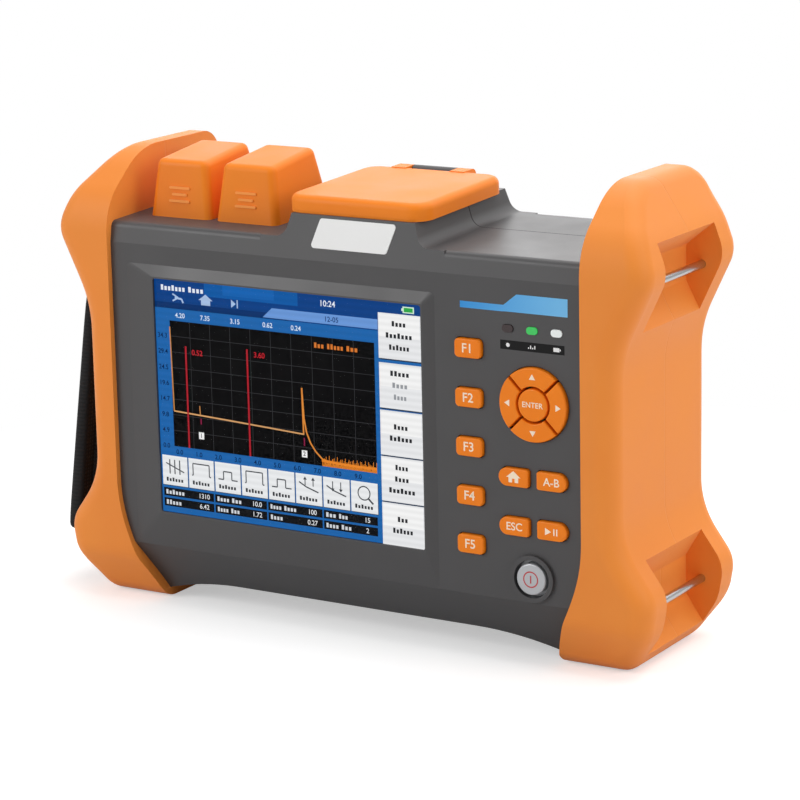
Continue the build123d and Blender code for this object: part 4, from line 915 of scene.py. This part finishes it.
# The real threads are finer; they are drawn coarser, so that they show
rib = waves(webbing_cloth, place, 1.6, "Z", Distortion=0.4, Detail=1.0)
warp = waves(webbing_cloth, place, 2.0, "Y", Distortion=0.4, Detail=1.0)
woven = add(webbing_cloth, "ShaderNodeMath", {0: rib, 1: warp}, operation="MULTIPLY")
emboss(webbing_cloth, shader, woven.outputs[0], 0.3, 0.8)
tint(webbing_cloth, shader, woven.outputs[0], "#0A0A0C", "#1C1C1F")
ride_and_paint(webbing, webbing_cloth, "tester")
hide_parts("strap_webbing")


# Hand strap pad
# Padded sleeve of black fabric over foam. Its cover starts as a closed shell, is blown up by
# Blender's Cloth with its rim, seams and inner side held, and then gets its rows of stitches.
pad_low = Vector((-129.7, 0, 16.5))
pad_high = Vector((-117.1, 0, 113.0))
pad_length = (pad_high - pad_low).length
pad_along = (pad_high - pad_low).normalized()
pad_out = Vector((-pad_along.z, 0, pad_along.x))


def pad_point(side, along, out):
    """Point of the pad in metres, from its width, length and height over the inner side."""
    return (pad_low + pad_along * along + pad_out * out + Vector((0, side, 0))) / 1000


across_count = 20
along_count = 48
half_wide = 18.7
half_long = pad_length / 2 - 0.6
inner_height = 0.3
outer_height, crown_rise, lower_fullness = 5.3, 0.8, 0.7
seam_side = 15.2
shell = bmesh.new()
layers = []
for layer in range(2):
    grid = []
    for i in range(across_count + 1):
        column = []
        for j in range(along_count + 1):
            u = i / across_count * 2 - 1
            v = j / along_count * 2 - 1
            # Squares become a rounded rectangle by easing the corners inwards
            side = half_wide * u * (1 - 0.035 * v**8)
            along = pad_length / 2 + half_long * v * (1 - 0.012 * u**8)
            rim = max(abs(u), abs(v) ** 1.2)
            crown = (1 - rim**10) ** 0.5 if rim < 1 else 0
            # Foam of even thickness with a soft shoulder, a little fuller at the lower end
            height = inner_height
            if layer == 1:
                height = outer_height + crown_rise * crown - lower_fullness * v
            column.append(shell.verts.new(pad_point(side, along, height)))
        grid.append(column)
    layers.append(grid)
inner, outer = layers
for i in range(across_count):
    for j in range(along_count):
        shell.faces.new((inner[i][j], inner[i][j + 1], inner[i + 1][j + 1], inner[i + 1][j]))
        shell.faces.new((outer[i][j], outer[i + 1][j], outer[i + 1][j + 1], outer[i][j + 1]))
for i in range(across_count):
    for j, order in ((0, 1), (along_count, -1)):
        edge = (inner[i][j], inner[i + 1][j], outer[i + 1][j], outer[i][j])
        shell.faces.new(edge[::order])
for j in range(along_count):
    for i, order in ((0, -1), (across_count, 1)):
        edge = (inner[i][j], inner[i][j + 1], outer[i][j + 1], outer[i][j])
        shell.faces.new(edge[::order])
bmesh.ops.recalc_face_normals(shell, faces=shell.faces)
pad_mesh = bpy.data.meshes.new("pad")
shell.to_mesh(pad_mesh)
shell.free()
pad = bpy.data.objects.new("pad", pad_mesh)
scene.collection.objects.link(pad)
rest_points = [vertex.co.copy() for vertex in pad_mesh.vertices]


def pad_place(point):
    """Width, length and height of a point on the pad in millimetres."""
    offset = Vector(point) * 1000 - pad_low
    return offset.y, offset.dot(pad_along), offset.dot(pad_out)


seam_half, end_band, rim_side, inner_band = 0.95, 3.2, 17.2, 0.6
held = pad.vertex_groups.new(name="held")
for vertex in pad_mesh.vertices:
    side, along, height = pad_place(vertex.co)
    seam = abs(abs(side) - seam_side) < seam_half
    end = along < end_band or along > pad_length - end_band
    if height < inner_band or seam or end or abs(side) > rim_side:
        held.add([vertex.index], 1.0, "REPLACE")
cloth = pad.modifiers.new("cloth", "CLOTH")
cloth.settings.quality = 6
cloth.settings.mass = 0.15
cloth.settings.tension_stiffness = 18
cloth.settings.compression_stiffness = 18
cloth.settings.bending_stiffness = 0.4
cloth.settings.use_pressure = True
cloth.settings.uniform_pressure_force = 4
cloth.settings.effector_weights.gravity = 0
cloth.settings.vertex_group_mass = "held"
cloth.collision_settings.use_collision = False
last_frame = 20
greatest_swell = 0.0014
for number in range(1, last_frame + 1):
    scene.frame_set(number)
blown = pad.evaluated_get(bpy.context.evaluated_depsgraph_get())
for vertex, start, moved in zip(pad_mesh.vertices, rest_points, blown.data.vertices):
    # The foam's cover may swell only a little, and never towards the hand's gap
    step = moved.co - start
    limit = min(1.0, greatest_swell / max(step.length, 1e-9))
    vertex.co = start + step * limit
    height = pad_place(vertex.co)[2]
    if height < inner_height:
        vertex.co = Vector(vertex.co) + pad_out * (inner_height - height) / 1000
pad.modifiers.clear()
scene.frame_set(1)
smooth_pad = pad.modifiers.new("subdivision", "SUBSURF")
smooth_pad.levels = 1
smooth_pad.render_levels = 1
for face in pad_mesh.polygons:
    face.use_smooth = True
pad_fabric, shader = plastic(
    "black woven pad cover", "#1A1A1C", 0.78, Specular_IOR_Level=0.25, Sheen_Weight=0.08
)
place, _ = grain(pad_fabric, shader, 0.5, 0.03, 0.06)
weft = waves(pad_fabric, place, 1.5, "Z", Distortion=0.6)
twist = waves(pad_fabric, place, 1.5, "Y", Distortion=0.6)
cells = add(pad_fabric, "ShaderNodeMath", {0: weft, 1: twist}, operation="MULTIPLY")
emboss(pad_fabric, shader, cells.outputs[0], 0.2, 0.8)
tint(pad_fabric, shader, cells.outputs[0], "#08080A", "#19191B")
ride_and_paint(pad, pad_fabric, "tester")
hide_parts("strap_pad")

# Stitches lie on the cover along both long sides and across both ends
stitch_pitch, stitch_length, end_seam = 2.9, 1.9, 3.4
stitch_lines = []
for side in (-seam_side, seam_side):
    starts = [4.0 + stitch_pitch * n for n in range(31)]
    stitch_lines += [((side, along), (side, along + stitch_length)) for along in starts]
for along in (end_seam, pad_length - end_seam):
    starts = [-14.2 + stitch_pitch * n for n in range(10)]
    stitch_lines += [((side, along), (side + stitch_length, along)) for side in starts]
cover = pad.evaluated_get(bpy.context.evaluated_depsgraph_get())
cover_mesh = cover.to_mesh()
surface = BVHTree.FromPolygons(
    [vertex.co.copy() for vertex in cover_mesh.vertices],
    [tuple(face.vertices) for face in cover_mesh.polygons],
)
thread_radius = 0.00027
rings, turns = 5, 6
points = []
faces = []
for line in stitch_lines:
    ends = []
    for side, along in line:
        hit = surface.ray_cast(pad_point(side, along, 12), -pad_out)[0]
        ends.append(hit if hit else pad_point(side, along, 1.2))
    wide_dir = (ends[1] - ends[0]).normalized().cross(pad_out)
    first = len(points)
    for part in range(rings):
        # Thickest in its middle and thinner at its ends, sunk into the cover by half its radius
        t = part / (rings - 1)
        swell = math.sin(math.pi * (0.12 + 0.76 * t))
        middle = ends[0].lerp(ends[1], t)
        for turn in range(turns):
            angle = turn * math.tau / turns
            offset = wide_dir * math.cos(angle) + pad_out * (math.sin(angle) + 0.5)
            points.append(middle + offset * thread_radius * swell)
    for part in range(rings - 1):
        for turn in range(turns):
            a = first + part * turns + turn
            b = first + part * turns + (turn + 1) % turns
            faces.append((a, b, b + turns, a + turns))
    faces.append(tuple(first + turn for turn in range(turns))[::-1])
    faces.append(tuple(first + (rings - 1) * turns + turn for turn in range(turns)))
cover.to_mesh_clear()
stitches = polygon_mesh("stitches", points, faces)
thread_finish, shader = plastic("grey polyester thread", "#4A4A4C", 0.6)
grain(thread_finish, shader, 0.2, 0.02)
ride_and_paint(stitches, thread_finish, "tester")
